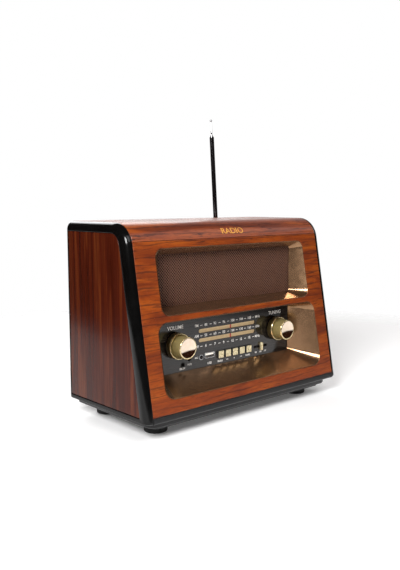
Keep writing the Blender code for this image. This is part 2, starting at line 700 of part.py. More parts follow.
def make_keys(looks):
    """Five push keys, the band switch, the sockets and the small board that carries them."""
    board_front = DIAL_Y + 0.0085
    for i, label in enumerate(BUTTON_NAMES):
        x = BUTTON_FIRST_X + i * BUTTON_PITCH
        wide, tall = BUTTON_SIZE[0] / 2, BUTTON_SIZE[1] / 2
        shape = rectangle(x - wide, x + wide, BUTTON_Z - tall, BUTTON_Z + tall, 0.0008, 2)
        dish = rectangle(x - wide + 0.0006, x + wide - 0.0006, BUTTON_Z - tall + 0.0006,
                         BUTTON_Z + tall - 0.0006, 0.0006, 2)
        face = DIAL_Y - 0.0022
        loops = [
            [(px, face, pz) for px, pz in dish],
            [(px, face + 0.0006, pz) for px, pz in shape],
            [(px, DIAL_Y + 0.0030, pz) for px, pz in shape],
        ]
        key = loft("button_" + label, loops, looks["cream"])
        stem = block(f"stem_{label}", (x - 0.0012, DIAL_Y + 0.0025, BUTTON_Z - 0.0012),
                     (x + 0.0012, board_front - 0.0022, BUTTON_Z + 0.0012))
        join(key, stem)
        slide = holder(f"button_{label}_axis", (x, face, BUTTON_Z))
        put_under(slide, key)

    body_front = DIAL_Y + 0.0036
    switch = block(
        "band_switch", (SWITCH_X - 0.0125, body_front, SWITCH_Z - 0.0032),
        (SWITCH_X + 0.0125, board_front - GAP, SWITCH_Z + 0.0032), looks["steel"],
    )
    cut(switch, block("switch_slot", (SWITCH_X - 0.0108, body_front - 0.001, SWITCH_Z - 0.0016),
                      (SWITCH_X + 0.0108, body_front + 0.0030, SWITCH_Z + 0.0016)))
    lever = block(
        "band_switch_lever", (SWITCH_X - 0.0013, DIAL_Y - 0.0034, SWITCH_Z - 0.0046),
        (SWITCH_X + 0.0013, DIAL_Y - 0.0004, SWITCH_Z + 0.0046), looks["cream"], 0.0003,
    )
    blade = block("lever_blade", (SWITCH_X - 0.0009, DIAL_Y - 0.0010, SWITCH_Z - 0.0009),
                  (SWITCH_X + 0.0009, body_front + 0.0026, SWITCH_Z + 0.0009))
    join(lever, blade)
    slide = holder("band_switch_axis", (SWITCH_X, DIAL_Y, SWITCH_Z))
    put_under(slide, lever)

    x, z = USB_AT
    usb = block("usb_socket", (x - 0.0069, DIAL_Y - 0.0004, z - 0.0029),
                (x + 0.0069, DIAL_Y + 0.0080, z + 0.0029), looks["steel"])
    cut(usb, block("usb_mouth", (x - 0.0064, DIAL_Y - 0.002, z - 0.0024),
                   (x + 0.0064, DIAL_Y + 0.0074, z + 0.0024)))
    join(usb, block("usb_tongue", (x - 0.0055, DIAL_Y + 0.0006, z + 0.0002),
                    (x + 0.0055, DIAL_Y + 0.0077, z + 0.0019)))
    for label, at, inner in (("aux", AUX_AT, 0.00178), ("dc", DC_AT, 0.0016)):
        turned(
            label + "_socket",
            [(-0.0006, 0.0024), (0.0022, 0.0024), (0.0022, 0.0036), (0.0078, 0.0036), (0.0078, 0.0008),
             (0.0072, 0.0008), (0.0072, inner), (-0.0006, inner)],
            (at[0], DIAL_Y, at[1]), looks["steel"], sides=14, ring=True,
        )
    turned("power_lens", [(-0.0005, 0.0010), (-0.0002, 0.0015), (0.0078, 0.0015)],
           (LED_AT[0], DIAL_Y, LED_AT[1]), looks["lens"], sides=16)

    board = block("key_board", (-0.0680, board_front, 0.0520), (0.0660, board_front + 0.0014, 0.0702),
                  looks["board"])
    pads = []
    for i in range(len(BUTTON_NAMES)):
        px = BUTTON_FIRST_X + i * BUTTON_PITCH
        pads.append(block(f"pad_{i}", (px - 0.003, board_front - 0.0004, BUTTON_Z - 0.003),
                          (px + 0.003, board_front + 0.0007, BUTTON_Z + 0.003)))
    join(board, *pads)


def make_main_board(looks):
    """The upright main board behind the drive, with the idlers' pins and the large parts."""
    front = DRIVE_Y + 0.0060
    back = front + 0.0016
    board = block("main_board", (-0.0920, front, 0.0400), (0.0920, back, 0.1080), looks["board"])
    extras = []
    for sign in (-1, 1):
        extras.append(turned(f"idler_pin_{sign}", [(-0.0025, IDLER_PIN_R), (0.0066, IDLER_PIN_R)],
                             (sign * IDLER_X, DRIVE_Y, IDLER_Z), None, sides=16))
    heat_sink = block("heat_sink", (-0.0680, back - 0.0005, 0.0660), (-0.0480, back + 0.0120, 0.0960))
    chip = block("tuner_chip", (0.0280, back - 0.0005, 0.0620), (0.0480, back + 0.0025, 0.0760))
    shield = block("tuner_shield", (0.0240, back - 0.0005, 0.0840), (0.0560, back + 0.0060, 0.1020))
    extras += [heat_sink, chip, shield]
    for i, x in enumerate((-0.030, -0.018)):
        extras.append(turned(f"capacitor_can_{i}", [(-0.0005, 0.0050), (0.0120, 0.0050)],
                             (x, back, 0.0520), None, sides=16))
    for i, x in enumerate((-0.020, 0.072)):
        extras.append(block(f"rod_clip_{i}", (x - 0.0025, back - 0.0005, 0.1010),
                            (x + 0.0025, back + 0.0140, 0.1060)))
    join(board, *extras)
    holes = [
        prism("drum_hole", circle(*DRUM_AT, SHAFT_R + 0.0010, 20), "XZ", front - 0.002, back + 0.002),
        prism("spindle_hole", circle(KNOB_X, KNOB_Z, SHAFT_R + BORE_PLAY, 20), "XZ", front - 0.002,
              back + 0.002),
    ]
    rod_y, rod_z, rod_r = back + 0.0080, 0.1100, 0.0040
    holes.append(prism("rod_seat", circle(rod_y, rod_z, rod_r + GAP, 20), "YZ", -0.04, 0.09))
    cut(board, *holes)
    turned("ferrite_rod", [(-0.034, rod_r), (0.058, rod_r)], (0.026, rod_y, rod_z),
           looks["ferrite"], X_AXIS, sides=20)
    turned(
        "ferrite_coil",
        [(-0.013, rod_r + 0.0015), (0.013, rod_r + 0.0015), (0.013, rod_r + GAP), (-0.013, rod_r + GAP)],
        (0.026, rod_y, rod_z), looks["copper"], X_AXIS, sides=20, ring=True,
    )


def make_back(looks):
    """The back cover with vents, the antenna's rest, the cell's well and its hinged door."""
    outer = BACK_Y - 0.0004
    inner = outer - BACK_THICK
    low, high = WOOD_BOTTOM, HEIGHT - BOARD - GAP
    cover = block("back_cover", (-BOARD_HALF, inner, low), (BOARD_HALF, outer, high), looks["plastic"])
    door_x, door_z = DOOR_AT
    wide, tall = DOOR_SIZE[0] / 2, DOOR_SIZE[1] / 2
    well = block("cell_well", (door_x - wide, inner - 0.0215, door_z - tall),
                 (door_x + wide, inner + 0.0010, door_z + tall))
    join(cover, well)
    vents = []
    for column in range(2):
        for row in range(6):
            x = 0.010 + column * 0.034
            z = 0.060 + row * 0.009
            vents.append(block(f"vent_{column}_{row}", (x, inner - 0.002, z),
                               (x + 0.028, outer + 0.002, z + 0.003)))
    hollow = block("well_hollow", (door_x - wide + 0.0045, inner - 0.0195, door_z - tall + 0.0045),
                   (door_x + wide - 0.0045, outer + 0.002, door_z + tall - 0.0045))
    recess = block("door_recess", (door_x - wide, outer - DOOR_THICK - GAP, door_z - tall),
                   (door_x + wide, outer + 0.002, door_z + tall))
    rest_x = ANTENNA_X - 0.085
    shelf_top = PIVOT_Z - TUBE_R - GAP
    lip = ANTENNA_Y + TUBE_R
    shelf = block("antenna_shelf", (rest_x - 0.004, outer - 0.001, shelf_top - 0.0025),
                  (rest_x + 0.004, lip + ELBOW_R - TUBE_R, shelf_top))
    stop = block("antenna_stop", (rest_x - 0.004, lip, shelf_top - 0.001),
                 (rest_x + 0.004, lip + ELBOW_R - TUBE_R, shelf_top + 0.0012))
    join(cover, shelf, stop)
    cut(cover, *vents, hollow, recess)
    play = 0.0004
    door = block(
        "battery_door", (door_x - wide + play, outer - DOOR_THICK, door_z - tall + play),
        (door_x + wide - play, outer, door_z + tall - play), looks["plastic"],
    )
    hinge = holder("battery_door_axis", (door_x, outer, door_z - tall + play))
    put_under(hinge, door)
    turned(
        "battery_cell",
        [(-CELL_LONG / 2, CELL_R - 0.0005), (-CELL_LONG / 2 + 0.0005, CELL_R),
         (CELL_LONG / 2 - 0.0005, CELL_R), (CELL_LONG / 2, CELL_R - 0.0005)],
        (door_x, inner - 0.0098, door_z), looks["cell"], X_AXIS, sides=24,
    )


def tube_profile(low, high, outer, inner):
    """An antenna section: a tube closed at its foot and open at its top."""
    rim = 0.0003
    floor = 0.0010
    return [(low, outer), (high - rim, outer), (high, outer - rim / 2), (high, inner), (low + floor, inner)]


def make_ear(name, centre, up, across, offset, half, low, high, near):
    """A flat ear standing in the antenna's own frame, its rear corners cut off."""
    bite = 0.0012
    outline = [
        (near, low), (near, high), (ELBOW_R - bite, high), (ELBOW_R, high - bite),
        (ELBOW_R, low + bite), (ELBOW_R - bite, low),
    ]
    loops = []
    for x in (offset - half, offset + half):
        loops.append([centre + across * x + Y_AXIS * y + up * z for y, z in outline])
    return loft(name, loops, None)


def make_antenna(looks):
    """Bracket, swivel, elbow and the nested sections of the rod antenna."""
    up = Vector((-sin(ANTENNA_LEAN), 0, cos(ANTENNA_LEAN)))
    across = up.cross(Y_AXIS).normalized()
    pivot = Vector((ANTENNA_X, ANTENNA_Y, PIVOT_Z))
    elbow = pivot + up * ELBOW_UP
    bracket_tall = 0.0034
    turned(
        "antenna_bracket",
        [(0, 0.0075), (0.0022, 0.0075), (0.0026, 0.0070), (0.0026, 0.0045), (bracket_tall, 0.0045)],
        (ANTENNA_X, BACK_Y - 0.0001, PIVOT_Z), looks["plastic"],
    )
    disc_front = BACK_Y - 0.0001 + bracket_tall + GAP
    disc = turned("antenna_swivel", [(0, 0.0048), (0.0022, 0.0048)],
                  (ANTENNA_X, disc_front, PIVOT_Z), looks["chrome"])
    near = disc_front + 0.0010 - ANTENNA_Y
    low = -ELBOW_UP - 0.0035
    ears = [
        make_ear(f"swivel_ear_{sign}", elbow, up, across, sign * 0.0024, 0.0009, low, 0.0030, near)
        for sign in (-1, 1)
    ]
    bridge = make_ear("swivel_bridge", elbow, up, across, 0.0, 0.0030, low, low + 0.0070, near)
    join(disc, bridge, *ears)

    foot, top = 0.0050, OUTER_TUBE_TOP - ELBOW_UP
    radius, wall = TUBE_R, TUBE_WALL
    sections = [turned("antenna_tube_1", tube_profile(foot, top, radius, radius - wall), elbow,
                       looks["tube_black"], up, 24)]
    join(sections[0], make_ear("knuckle", elbow, up, across, 0.0, 0.0012, -0.0030, 0.0056, -0.0028))
    for i in (2, 3):
        radius -= wall + GAP
        foot += TUBE_STEP
        top += TUBE_STEP
        sections.append(turned(f"antenna_tube_{i}", tube_profile(foot, top, radius, radius - wall),
                               elbow, looks["chrome"], up, 20))
    rod_r = radius - wall - GAP
    rod_foot = foot + TUBE_STEP + ROD_SHOWS
    tip = top + ROD_SHOWS
    sections.append(turned(
        "antenna_rod",
        [(rod_foot, rod_r), (tip - 0.0032, rod_r), (tip - 0.0030, 0.0011), (tip - 0.0022, 0.0015),
         (tip - 0.0008, 0.0015), (tip, 0.0010)],
        elbow, looks["chrome"], up, 20,
    ))
    put_under(holder("antenna_swing_axis", pivot), disc)
    put_under(holder("antenna_tilt_axis", elbow), *sections)


def make_badge(looks):
    """A plain gold bar above the seam, bent to the board."""
    half, low, high = 0.0172, 0.1889, 0.1985
    steps = 6
    centre_z = HEIGHT - TOP_CORNER
    centre_y = front_y(centre_z) + TOP_CORNER / cos(LEAN)
    loops = []
    for x in (-half, half):
        outer, inner = [], []
        for step in range(steps + 1):
            z = low + (high - low) * step / steps
            for reach, row in ((TOP_CORNER + GAP, inner), (TOP_CORNER + GAP + 0.0008, outer)):
                row.append((x, centre_y - (reach * reach - (z - centre_z) ** 2) ** 0.5, z))
        loops.append(outer + inner[::-1])
    loft("badge", loops, looks["gold"], smooth=True)


def build():
    clear_scene()
    looks = make_finishes()
    for side, sign in (("left", -1), ("right", 1)):
        make_side(side, sign, looks)
    make_top_panel(looks)
    make_front_panel(looks)
    make_bezel("speaker_bezel", SPEAKER_WINDOW, GRILLE_FRAME, looks)
    make_bezel("dial_bezel", DIAL_WINDOW, DIAL_FRAME, looks)
    make_base(looks)
    make_speaker(looks)
    make_dial(looks)
    make_volume(looks)
    make_tuning(looks)
    make_keys(looks)
    make_main_board(looks)
    make_back(looks)
    make_antenna(looks)
    make_badge(looks)


build()
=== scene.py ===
import json
from math import atan2, cos, pi, radians, sin, tan

import bmesh
import bpy
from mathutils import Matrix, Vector


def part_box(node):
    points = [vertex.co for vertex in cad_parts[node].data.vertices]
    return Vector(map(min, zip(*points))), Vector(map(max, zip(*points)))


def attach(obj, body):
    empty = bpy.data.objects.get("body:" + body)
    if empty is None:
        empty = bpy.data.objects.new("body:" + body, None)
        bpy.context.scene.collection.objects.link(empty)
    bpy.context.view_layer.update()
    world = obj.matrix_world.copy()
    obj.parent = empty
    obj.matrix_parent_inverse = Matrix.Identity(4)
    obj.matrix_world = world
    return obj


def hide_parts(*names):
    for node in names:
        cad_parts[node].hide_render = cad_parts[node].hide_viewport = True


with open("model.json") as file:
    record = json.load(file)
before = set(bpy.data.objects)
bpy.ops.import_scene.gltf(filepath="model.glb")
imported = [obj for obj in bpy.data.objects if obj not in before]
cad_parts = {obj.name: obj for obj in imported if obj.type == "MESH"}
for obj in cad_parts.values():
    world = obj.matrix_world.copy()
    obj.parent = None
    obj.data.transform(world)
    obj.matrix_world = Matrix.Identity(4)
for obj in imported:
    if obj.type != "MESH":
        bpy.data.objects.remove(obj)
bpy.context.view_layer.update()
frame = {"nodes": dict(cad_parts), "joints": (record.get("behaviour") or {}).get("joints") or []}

scene = bpy.context.scene
print("frame loaded:", len(frame["nodes"]), "nodes")

# Places read from the frame, in metres
rimLow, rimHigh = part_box("right_side_frame")
halfWidth, sideInner = rimHigh.x, rimLow.x
backY, topZ, cabinetBottom = rimHigh.y, rimHigh.z, rimLow.z
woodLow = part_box("front_panel")[0]
lean = radians(10.37)     # how far the front leans back
frontLowY = woodLow.y - (woodLow.z - cabinetBottom) * tan(lean)
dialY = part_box("dial_panel")[0].y
gap = 0.0003              # between neighbouring pieces
rim = halfWidth - sideInner
topCorner = 0.025         # radius of the bend between front and top
board = 0.008
flange = 0.0035           # of a bezel, behind the plate that it frames


def frontY(z):
    return frontLowY + (z - cabinetBottom) * tan(lean)


def boxCentre(node):
    low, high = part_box(node)
    return (low + high) / 2


# Colours and nodes
def toLinear(hexColour):
    channels = [int(hexColour[i:i + 2], 16) / 255 for i in (1, 3, 5)]
    return (*[c / 12.92 if c <= 0.04045 else ((c + 0.055) / 1.055) ** 2.4 for c in channels], 1.0)


def feed(tree, node, inputs):
    for key, value in inputs.items():
        if isinstance(value, bpy.types.NodeSocket):
            tree.links.new(value, node.inputs[key])
        else:
            node.inputs[key].default_value = toLinear(value) if isinstance(value, str) else value


def addNode(tree, kind, inputs=None, stops=None, **settings):
    node = tree.nodes.new("ShaderNode" + kind)
    for key, value in settings.items():
        setattr(node, key, value)
    feed(tree, node, inputs or {})
    for i, (place, value) in enumerate(stops or []):
        ramp = node.color_ramp.elements
        stop = ramp[i] if i < len(ramp) else ramp.new(place)
        stop.position = place
        stop.color = toLinear(value) if isinstance(value, str) else (value, value, value, 1)
    return node


def newMaterial(name):
    material = bpy.data.materials.new(name)
    material.use_nodes = True
    return material, material.node_tree, material.node_tree.nodes["Principled BSDF"]


def perMetre(*sizesMm):
    return tuple(1000 / size for size in sizesMm)


# Veneers
# Dyed rosewood veneer, sliced, with the grain across the front, under satin lacquer: warm orange
# with thin wavy brown lines that bunch together. Sizes are x, y, z of one mottle, streak and pore;
# linesMm is how far the growth lines run, and how far apart they lie.
frontVeneer = dict(name="rosewood_veneer_satin_lacquer", mottleMm=(110, 15, 15), streakMm=(30, 2.2, 2.2),
                   poreMm=(9, 0.8, 0.8), bandMm=(70, 20, 20), linesMm=(150, 7.0), linesAcross="Z",
                   linesWarp=6.5, linesEdge=(0.87, 0.97), linesDepth=0.75,
                   tones=("#622408", "#843709", "#9B4A10"), streak="#3A1205", pore="#4C1B08",
                   streakEdge=(0.375, 0.42), streakDepth=0.92, poreDepth=0.42,
                   roughness=0.42, shine=0.36, coat=0.2, coatRoughness=0.12)
# The same veneer stained dark, with the grain upright: red brown with paler slow stripes.
sideVeneer = dict(name="rosewood_veneer_dark_stain", mottleMm=(13, 10, 180), streakMm=(4, 3.4, 110),
                  poreMm=(1.0, 1.0, 14), bandMm=(20, 20, 90), linesMm=(260, 8.5), linesAcross="Y",
                  linesWarp=7.0, linesEdge=(0.55, 1.0), linesDepth=0.40,
                  tones=("#2F0D05", "#3E1408", "#592811"), streak="#2A0C06", pore="#3A120A",
                  streakEdge=(0.38, 0.50), streakDepth=0.32, poreDepth=0.22,
                  roughness=0.18, shine=0.19, coat=0.0, coatRoughness=0.2)


def veneer(look):
    material, tree, shader = newMaterial(look["name"])
    place = addNode(tree, "TexCoord").outputs["Object"]

    def grain(sizeMm, detail, rough, warp):
        spread = addNode(tree, "Mapping", {"Vector": place, "Scale": perMetre(*sizeMm)})
        return addNode(tree, "TexNoise", {"Vector": spread.outputs[0], "Scale": 1.0, "Detail": detail,
                                          "Roughness": rough, "Distortion": warp}).outputs["Fac"]

    def times(first, second):
        return addNode(tree, "Math", {0: first, 1: second}, operation="MULTIPLY").outputs[0]

    dark, middle, light = look["tones"]
    mottle = grain(look["mottleMm"], 4, 0.55, 1.1)
    tone = addNode(tree, "ValToRGB", {"Fac": mottle}, stops=[(0.33, dark), (0.5, middle), (0.68, light)])
    low, high = look["streakEdge"]
    streak = addNode(tree, "ValToRGB", {"Fac": grain(look["streakMm"], 5, 0.62, 0.9)},
                     stops=[(low, 1.0), (high, 0.0)])
    bunch = addNode(tree, "ValToRGB", {"Fac": grain(look["bandMm"], 2, 0.5, 0.6)},
                    stops=[(0.36, 0.12), (0.58, 1.0)])
    streakShare = times(times(streak.outputs[0], bunch.outputs[0]), look["streakDepth"])
    along, apart = look["linesMm"]
    step = apart / 0.314        # the wave repeats every 0.314 of its own unit
    sizes = {"Z": (along, along, step), "Y": (along, step, along)}[look["linesAcross"]]
    lineSpace = addNode(tree, "Mapping", {"Vector": place, "Scale": perMetre(*sizes)})
    wave = addNode(tree, "TexWave", {"Vector": lineSpace.outputs[0], "Scale": 1.0, "Detail": 4.0,
                                     "Detail Scale": 1.4, "Detail Roughness": 0.62,
                                     "Distortion": look["linesWarp"]},
                   bands_direction=look["linesAcross"])
    lineLow, lineHigh = look["linesEdge"]
    growth = addNode(tree, "ValToRGB", {"Fac": wave.outputs["Fac"]}, stops=[(lineLow, 0.0), (lineHigh, 1.0)])
    patches = addNode(tree, "ValToRGB", {"Fac": grain(look["streakMm"], 2, 0.5, 0.3)},
                      stops=[(0.34, 0.1), (0.56, 1.0)])
    growthShare = times(times(growth.outputs[0], patches.outputs[0]), look["linesDepth"])
    linesShare = addNode(tree, "Math", {0: streakShare, 1: growthShare}, operation="MAXIMUM").outputs[0]
    pores = addNode(tree, "ValToRGB", {"Fac": grain(look["poreMm"], 2, 0.6, 0.2)},
                    stops=[(0.38, 1.0), (0.47, 0.0)])
    poresShare = times(pores.outputs[0], look["poreDepth"])
    streaked = addNode(tree, "MixRGB", {"Fac": linesShare, "Color1": tone.outputs[0],
                                        "Color2": look["streak"]})
    colour = addNode(tree, "MixRGB", {"Fac": poresShare, "Color1": streaked.outputs[0],
                                      "Color2": look["pore"]})
    relief = addNode(tree, "Math", {0: linesShare, 1: poresShare}, operation="ADD")
    bump = addNode(tree, "Bump", {"Height": relief.outputs[0], "Strength": 0.16, "Distance": 0.00008},
                   invert=True)
    sheen = addNode(tree, "MapRange", {"Value": relief.outputs[0], "To Min": look["roughness"],
                                       "To Max": look["roughness"] + 0.14})
    feed(tree, shader, {"Base Color": colour.outputs[0], "Roughness": sheen.outputs[0],
                        "Normal": bump.outputs[0], "Specular IOR Level": look["shine"],
                        "Coat Weight": look["coat"], "Coat Roughness": look["coatRoughness"]})
    return material


# Plastics, metals and the rest
# Each finish: two close tones that a fine noise wanders between, a grain size in mm, how much the
# roughness wanders, and how deep the grain is in mm. Grains under 0.4 mm are drawn at 0.4 mm,
# coarser than real, so that they show.
finishes = dict(
    # Black ABS, polished and lacquered like a piano: near black, sharp reflections, faint ripple
    pianoBlack=dict(name="abs_piano_black_lacquer", tones=("#060606", "#090909"), grainMm=30, rough=0.13,
                    wander=0.04, deepMm=0.003, shine=0.23),
    # Charcoal ABS, satin moulded: soft grey edge lights
    charcoal=dict(name="abs_charcoal_satin", tones=("#19191A", "#202021"), grainMm=0.8, rough=0.34,
                  wander=0.08, deepMm=0.006, shine=0.34),
    # Bronze anodised aluminium, bead blasted: satin brown metal that goes gold towards the light
    bronze=dict(name="aluminium_bronze_anodised", tones=("#917053", "#987759"), grainMm=6.0, rough=0.24,
                wander=0.04, deepMm=0.0008, metal=0.9),
    # Champagne metallised ABS, satin turned: pale gold ring
    champagne=dict(name="abs_champagne_metallised", tones=("#D9C79C", "#E4D3AA"), grainMm=1.2, rough=0.24,
                   wander=0.06, deepMm=0.002, metal=0.9),
    # Champagne face plate, spun and polished: a mirror with a warm tint
    mirror=dict(name="aluminium_champagne_polished", tones=("#ECD7C0", "#F1DFCC"), grainMm=4.0, rough=0.07,
                wander=0.02, deepMm=0.001, metal=1.0),
    # Olive bronze metallised ABS, satin: the knob's sunk ring
    olive=dict(name="abs_olive_bronze_metallised", tones=("#978757", "#A69664"), grainMm=0.9, rough=0.46,
               wander=0.06, deepMm=0.003, metal=0.55),
    # Bronze metallised ABS for the knob's outer wall, darker than the olive ring as painted shade, since the
    # wall sits in shadow
    shadedBronze=dict(name="abs_bronze_metallised_painted_shade", tones=("#5A4C2E", "#665736"), grainMm=0.9, rough=0.40,
                    wander=0.06, deepMm=0.003, metal=0.7),
    # Cream gold metallised ABS keys, with a pebbled top: speckled warm highlights
    keyGold=dict(name="abs_cream_gold_pebbled", tones=("#C9B98A", "#F3E8C4"), grainMm=0.9, rough=0.30,
                 wander=0.12, deepMm=0.05, metal=0.55),
    # Smoked acrylic sheet, polished, faintly streaked along its length
    smoked=dict(name="acrylic_smoked_polished", tones=("#0B0A09", "#2B2622"), grainMm=(70, 1.8, 1.8),
                rough=0.12, wander=0.16, deepMm=0.004, coat=0.1, coatRough=0.06),
    # Cream card, printed tan, matt; its glow is painted light that brightens the scale where it lies in shade
    # behind the slots
    scaleCard=dict(name="card_printed_tan", tones=("#C4A880", "#CDB28A"), grainMm=2.5, rough=0.6,
                   wander=0.1, deepMm=0.01, glow=0.6),
    # Screen printing ink, light grey; its glow is painted light that lifts the letters on the shaded dial
    ink=dict(name="screen_ink_light_grey", tones=("#D2D0CB", "#E0DEDA"), grainMm=1.0, rough=0.5,
             wander=0.1, deepMm=0.003, glow=0.28),
    # Gold leaf lettering, rolled: warm yellow metal
    gold=dict(name="brass_gold_rolled", tones=("#D9983F", "#E5A850"), grainMm=1.2, rough=0.36,
              wander=0.08, deepMm=0.003, metal=0.6),
    # Brown paint on punched steel, satin
    grillePaint=dict(name="steel_brown_painted", tones=("#674433", "#724D3B"), grainMm=2.2, rough=0.42,
                    wander=0.08, deepMm=0.004, metal=0.1),
    # Black speaker cloth, woven
    cloth=dict(name="polyester_speaker_cloth", tones=("#0A0605", "#120C0A"), grainMm=0.5, rough=0.95,
               wander=0.04, deepMm=0.15),
    # Red styrene needle; its glow is painted light, with no lamp behind it
    red=dict(name="styrene_red", tones=("#B8403A", "#C44C44"), grainMm=1.5, rough=0.35, wander=0.05,
             deepMm=0.002, glow=0.2),
    # Black ABS, spark textured: dull, fine pebble
    textured=dict(name="abs_black_spark_texture", tones=("#141414", "#1C1C1D"), grainMm=0.7, rough=0.55,
                  wander=0.1, deepMm=0.05),
    # Bright drawn steel: clean and slightly streaked
    steel=dict(name="steel_bright_drawn", tones=("#B9BABD", "#CFD0D2"), grainMm=(8, 1.2, 1.2), rough=0.24,
               wander=0.1, deepMm=0.003, metal=1.0),
    # Chrome plate on brass: mirror, faintly uneven
    chrome=dict(name="brass_chrome_plated", tones=("#DCDDE0", "#E6E7EA"), grainMm=6.0, rough=0.07,
                wander=0.03, deepMm=0.002, metal=1.0),
    # Black lacquer on the brass tube: gloss
    tubeBlack=dict(name="brass_black_lacquer", tones=("#08080A", "#0E0E10"), grainMm=8.0, rough=0.14,
                   wander=0.05, deepMm=0.003, coat=0.6, coatRough=0.08),
    # Neoprene foot, moulded: matt black
    rubber=dict(name="neoprene_black_moulded", tones=("#101010", "#181818"), grainMm=0.8, rough=0.85,
                wander=0.08, deepMm=0.03),
    # Glass fibre board under green solder resist: weave just showing
    circuit=dict(name="glass_fibre_solder_resist", tones=("#0C3A1C", "#14502A"), grainMm=1.6, rough=0.38,
                 wander=0.1, deepMm=0.01, coat=0.2, coatRough=0.2),
    # Chipboard baffle, raw: coarse fleck
    fibreboard=dict(name="fibreboard_raw", tones=("#6E4A2C", "#A27A50"), grainMm=2.4, rough=0.85,
                    wander=0.08, deepMm=0.08),
    # Pressed paper cone: dark, fibrous
    paper=dict(name="paper_cone_pressed", tones=("#1A1A1A", "#2C2A28"), grainMm=1.2, rough=0.92,
               wander=0.05, deepMm=0.06),
    # Sintered ferrite: charcoal ceramic
    ferrite=dict(name="ferrite_sintered", tones=("#1E1F21", "#2A2B2E"), grainMm=1.0, rough=0.6,
                 wander=0.1, deepMm=0.03),
    # Enamelled copper winding, drawn as one turn every 0.6 mm, coarser than the real 0.1 mm wire
    copper=dict(name="copper_enamelled", tones=("#7E3A16", "#C26A30"), grainMm=(0.6, 40, 40), rough=0.32,
                wander=0.08, deepMm=0.05, metal=1.0),
    # Printed shrink wrap on the cell: plain blue
    cellWrap=dict(name="pvc_shrink_wrap_blue", tones=("#1C3A78", "#234A92"), grainMm=9.0, rough=0.35,
                  wander=0.06, deepMm=0.01, coat=0.2, coatRough=0.15),
    # Braided nylon drive cord
    cordNylon=dict(name="nylon_braided_cord", tones=("#9C8E72", "#C4B698"), grainMm=0.5, rough=0.75,
                   wander=0.1, deepMm=0.08),
    # Opal acrylic lens, worn here by the USB tongue; its glow is painted light, a bright highlight drawn into
    # the tongue
    opal=dict(name="acrylic_opal", tones=("#E2DED4", "#ECE8DE"), grainMm=2.0, rough=0.25, wander=0.04,
              deepMm=0.002, coat=0.2, coatRough=0.1, glow=0.35),
)


def plainFinish(spec):
    material, tree, shader = newMaterial(spec["name"])
    grain = spec["grainMm"]
    sizes = grain if isinstance(grain, tuple) else (grain, grain, grain)
    place = addNode(tree, "TexCoord").outputs["Object"]
    spread = addNode(tree, "Mapping", {"Vector": place, "Scale": perMetre(*sizes)})
    noise = addNode(tree, "TexNoise", {"Vector": spread.outputs[0], "Scale": 1.0, "Detail": 3.0})
    first, second = spec["tones"]
    tone = addNode(tree, "ValToRGB", {"Fac": noise.outputs["Fac"]}, stops=[(0.35, first), (0.65, second)])
    rough = addNode(tree, "MapRange", {"Value": noise.outputs["Fac"], "From Min": 0.3, "From Max": 0.7,
                                       "To Min": max(0.02, spec["rough"] - spec["wander"] / 2),
                                       "To Max": spec["rough"] + spec["wander"] / 2})
    bump = addNode(tree, "Bump", {"Height": noise.outputs["Fac"], "Strength": 0.5,
                                  "Distance": spec["deepMm"] / 1000})
    feed(tree, shader, {"Base Color": tone.outputs[0], "Roughness": rough.outputs[0],
                        "Normal": bump.outputs[0], "Metallic": spec.get("metal", 0.0),
                        "Specular IOR Level": spec.get("shine", 0.5), "Coat Weight": spec.get("coat", 0.0),
                        "Coat Roughness": spec.get("coatRough", 0.03)})
    # glow: emission in the finish's own tone, painted light, since none of the parts that glow is a lamp
    if "glow" in spec:
        feed(tree, shader, {"Emission Color": tone.outputs[0], "Emission Strength": spec["glow"]})
    return material


looks = {key: plainFinish(spec) for key, spec in finishes.items()}
looks["frontVeneer"] = veneer(frontVeneer)
looks["sideVeneer"] = veneer(sideVeneer)
print("materials made:", len(looks))


# Making pieces
def roundedOutline(corners, radii, steps):
    points = []
    for i, radius in enumerate(radii):
        here = Vector(corners[i])
        before = (Vector(corners[i - 1]) - here).normalized()
        after = (Vector(corners[(i + 1) % len(corners)]) - here).normalized()
        halfAngle = before.angle(after) / 2
        centre = here + (before + after).normalized() * radius / sin(halfAngle)
        start = here + before * radius / tan(halfAngle) - centre
        end = here + after * radius / tan(halfAngle) - centre
        first = atan2(start.y, start.x)
        turn = (atan2(end.y, end.x) - first + pi) % (2 * pi) - pi
        for step in range(steps + 1):
            angle = first + turn * step / steps
            points.append((centre.x + radius * cos(angle), centre.y + radius * sin(angle)))
    return points


def square(xLow, xHigh, zLow, zHigh):
    return [(xLow, zLow), (xHigh, zLow), (xHigh, zHigh), (xLow, zHigh)]


def rectangle(xLow, xHigh, zLow, zHigh, radius, steps):
    return roundedOutline(square(xLow, xHigh, zLow, zHigh), [radius] * 4, steps)


# The outline of a node's box seen from the front, larger all round by play.
def aroundNode(node, play, radius, steps):
    low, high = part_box(node)
    return rectangle(low.x - play, high.x + play, low.z - play, high.z + play, radius, steps)


def circle(x, z, radius, sides=32):
    turns = [2 * pi * i / sides for i in range(sides)]
    return [(x + radius * cos(turn), z + radius * sin(turn)) for turn in turns]


# The loops of a straight block: one outline at two depths.
def slab(outline, near, far):
    return [[(x, y, z) for x, z in outline] for y in (near, far)]


def settle(name, mesh, finishKeys, body, replaced=(), edge=0.0, sharp=35):
    mesh.shade_smooth()
    for key in finishKeys:
        mesh.materials.append(looks[key])
    piece = bpy.data.objects.new(name, mesh)
    scene.collection.objects.link(piece)
    if edge:
        bevel = piece.modifiers.new("edge", "BEVEL")
        bevel.width, bevel.segments = edge, 2
        bevel.limit_method, bevel.angle_limit = "ANGLE", radians(40)
        bevel.harden_normals = True
    else:
        mesh.set_sharp_from_angle(angle=radians(sharp))
    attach(piece, body)
    if replaced:
        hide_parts(*replaced)


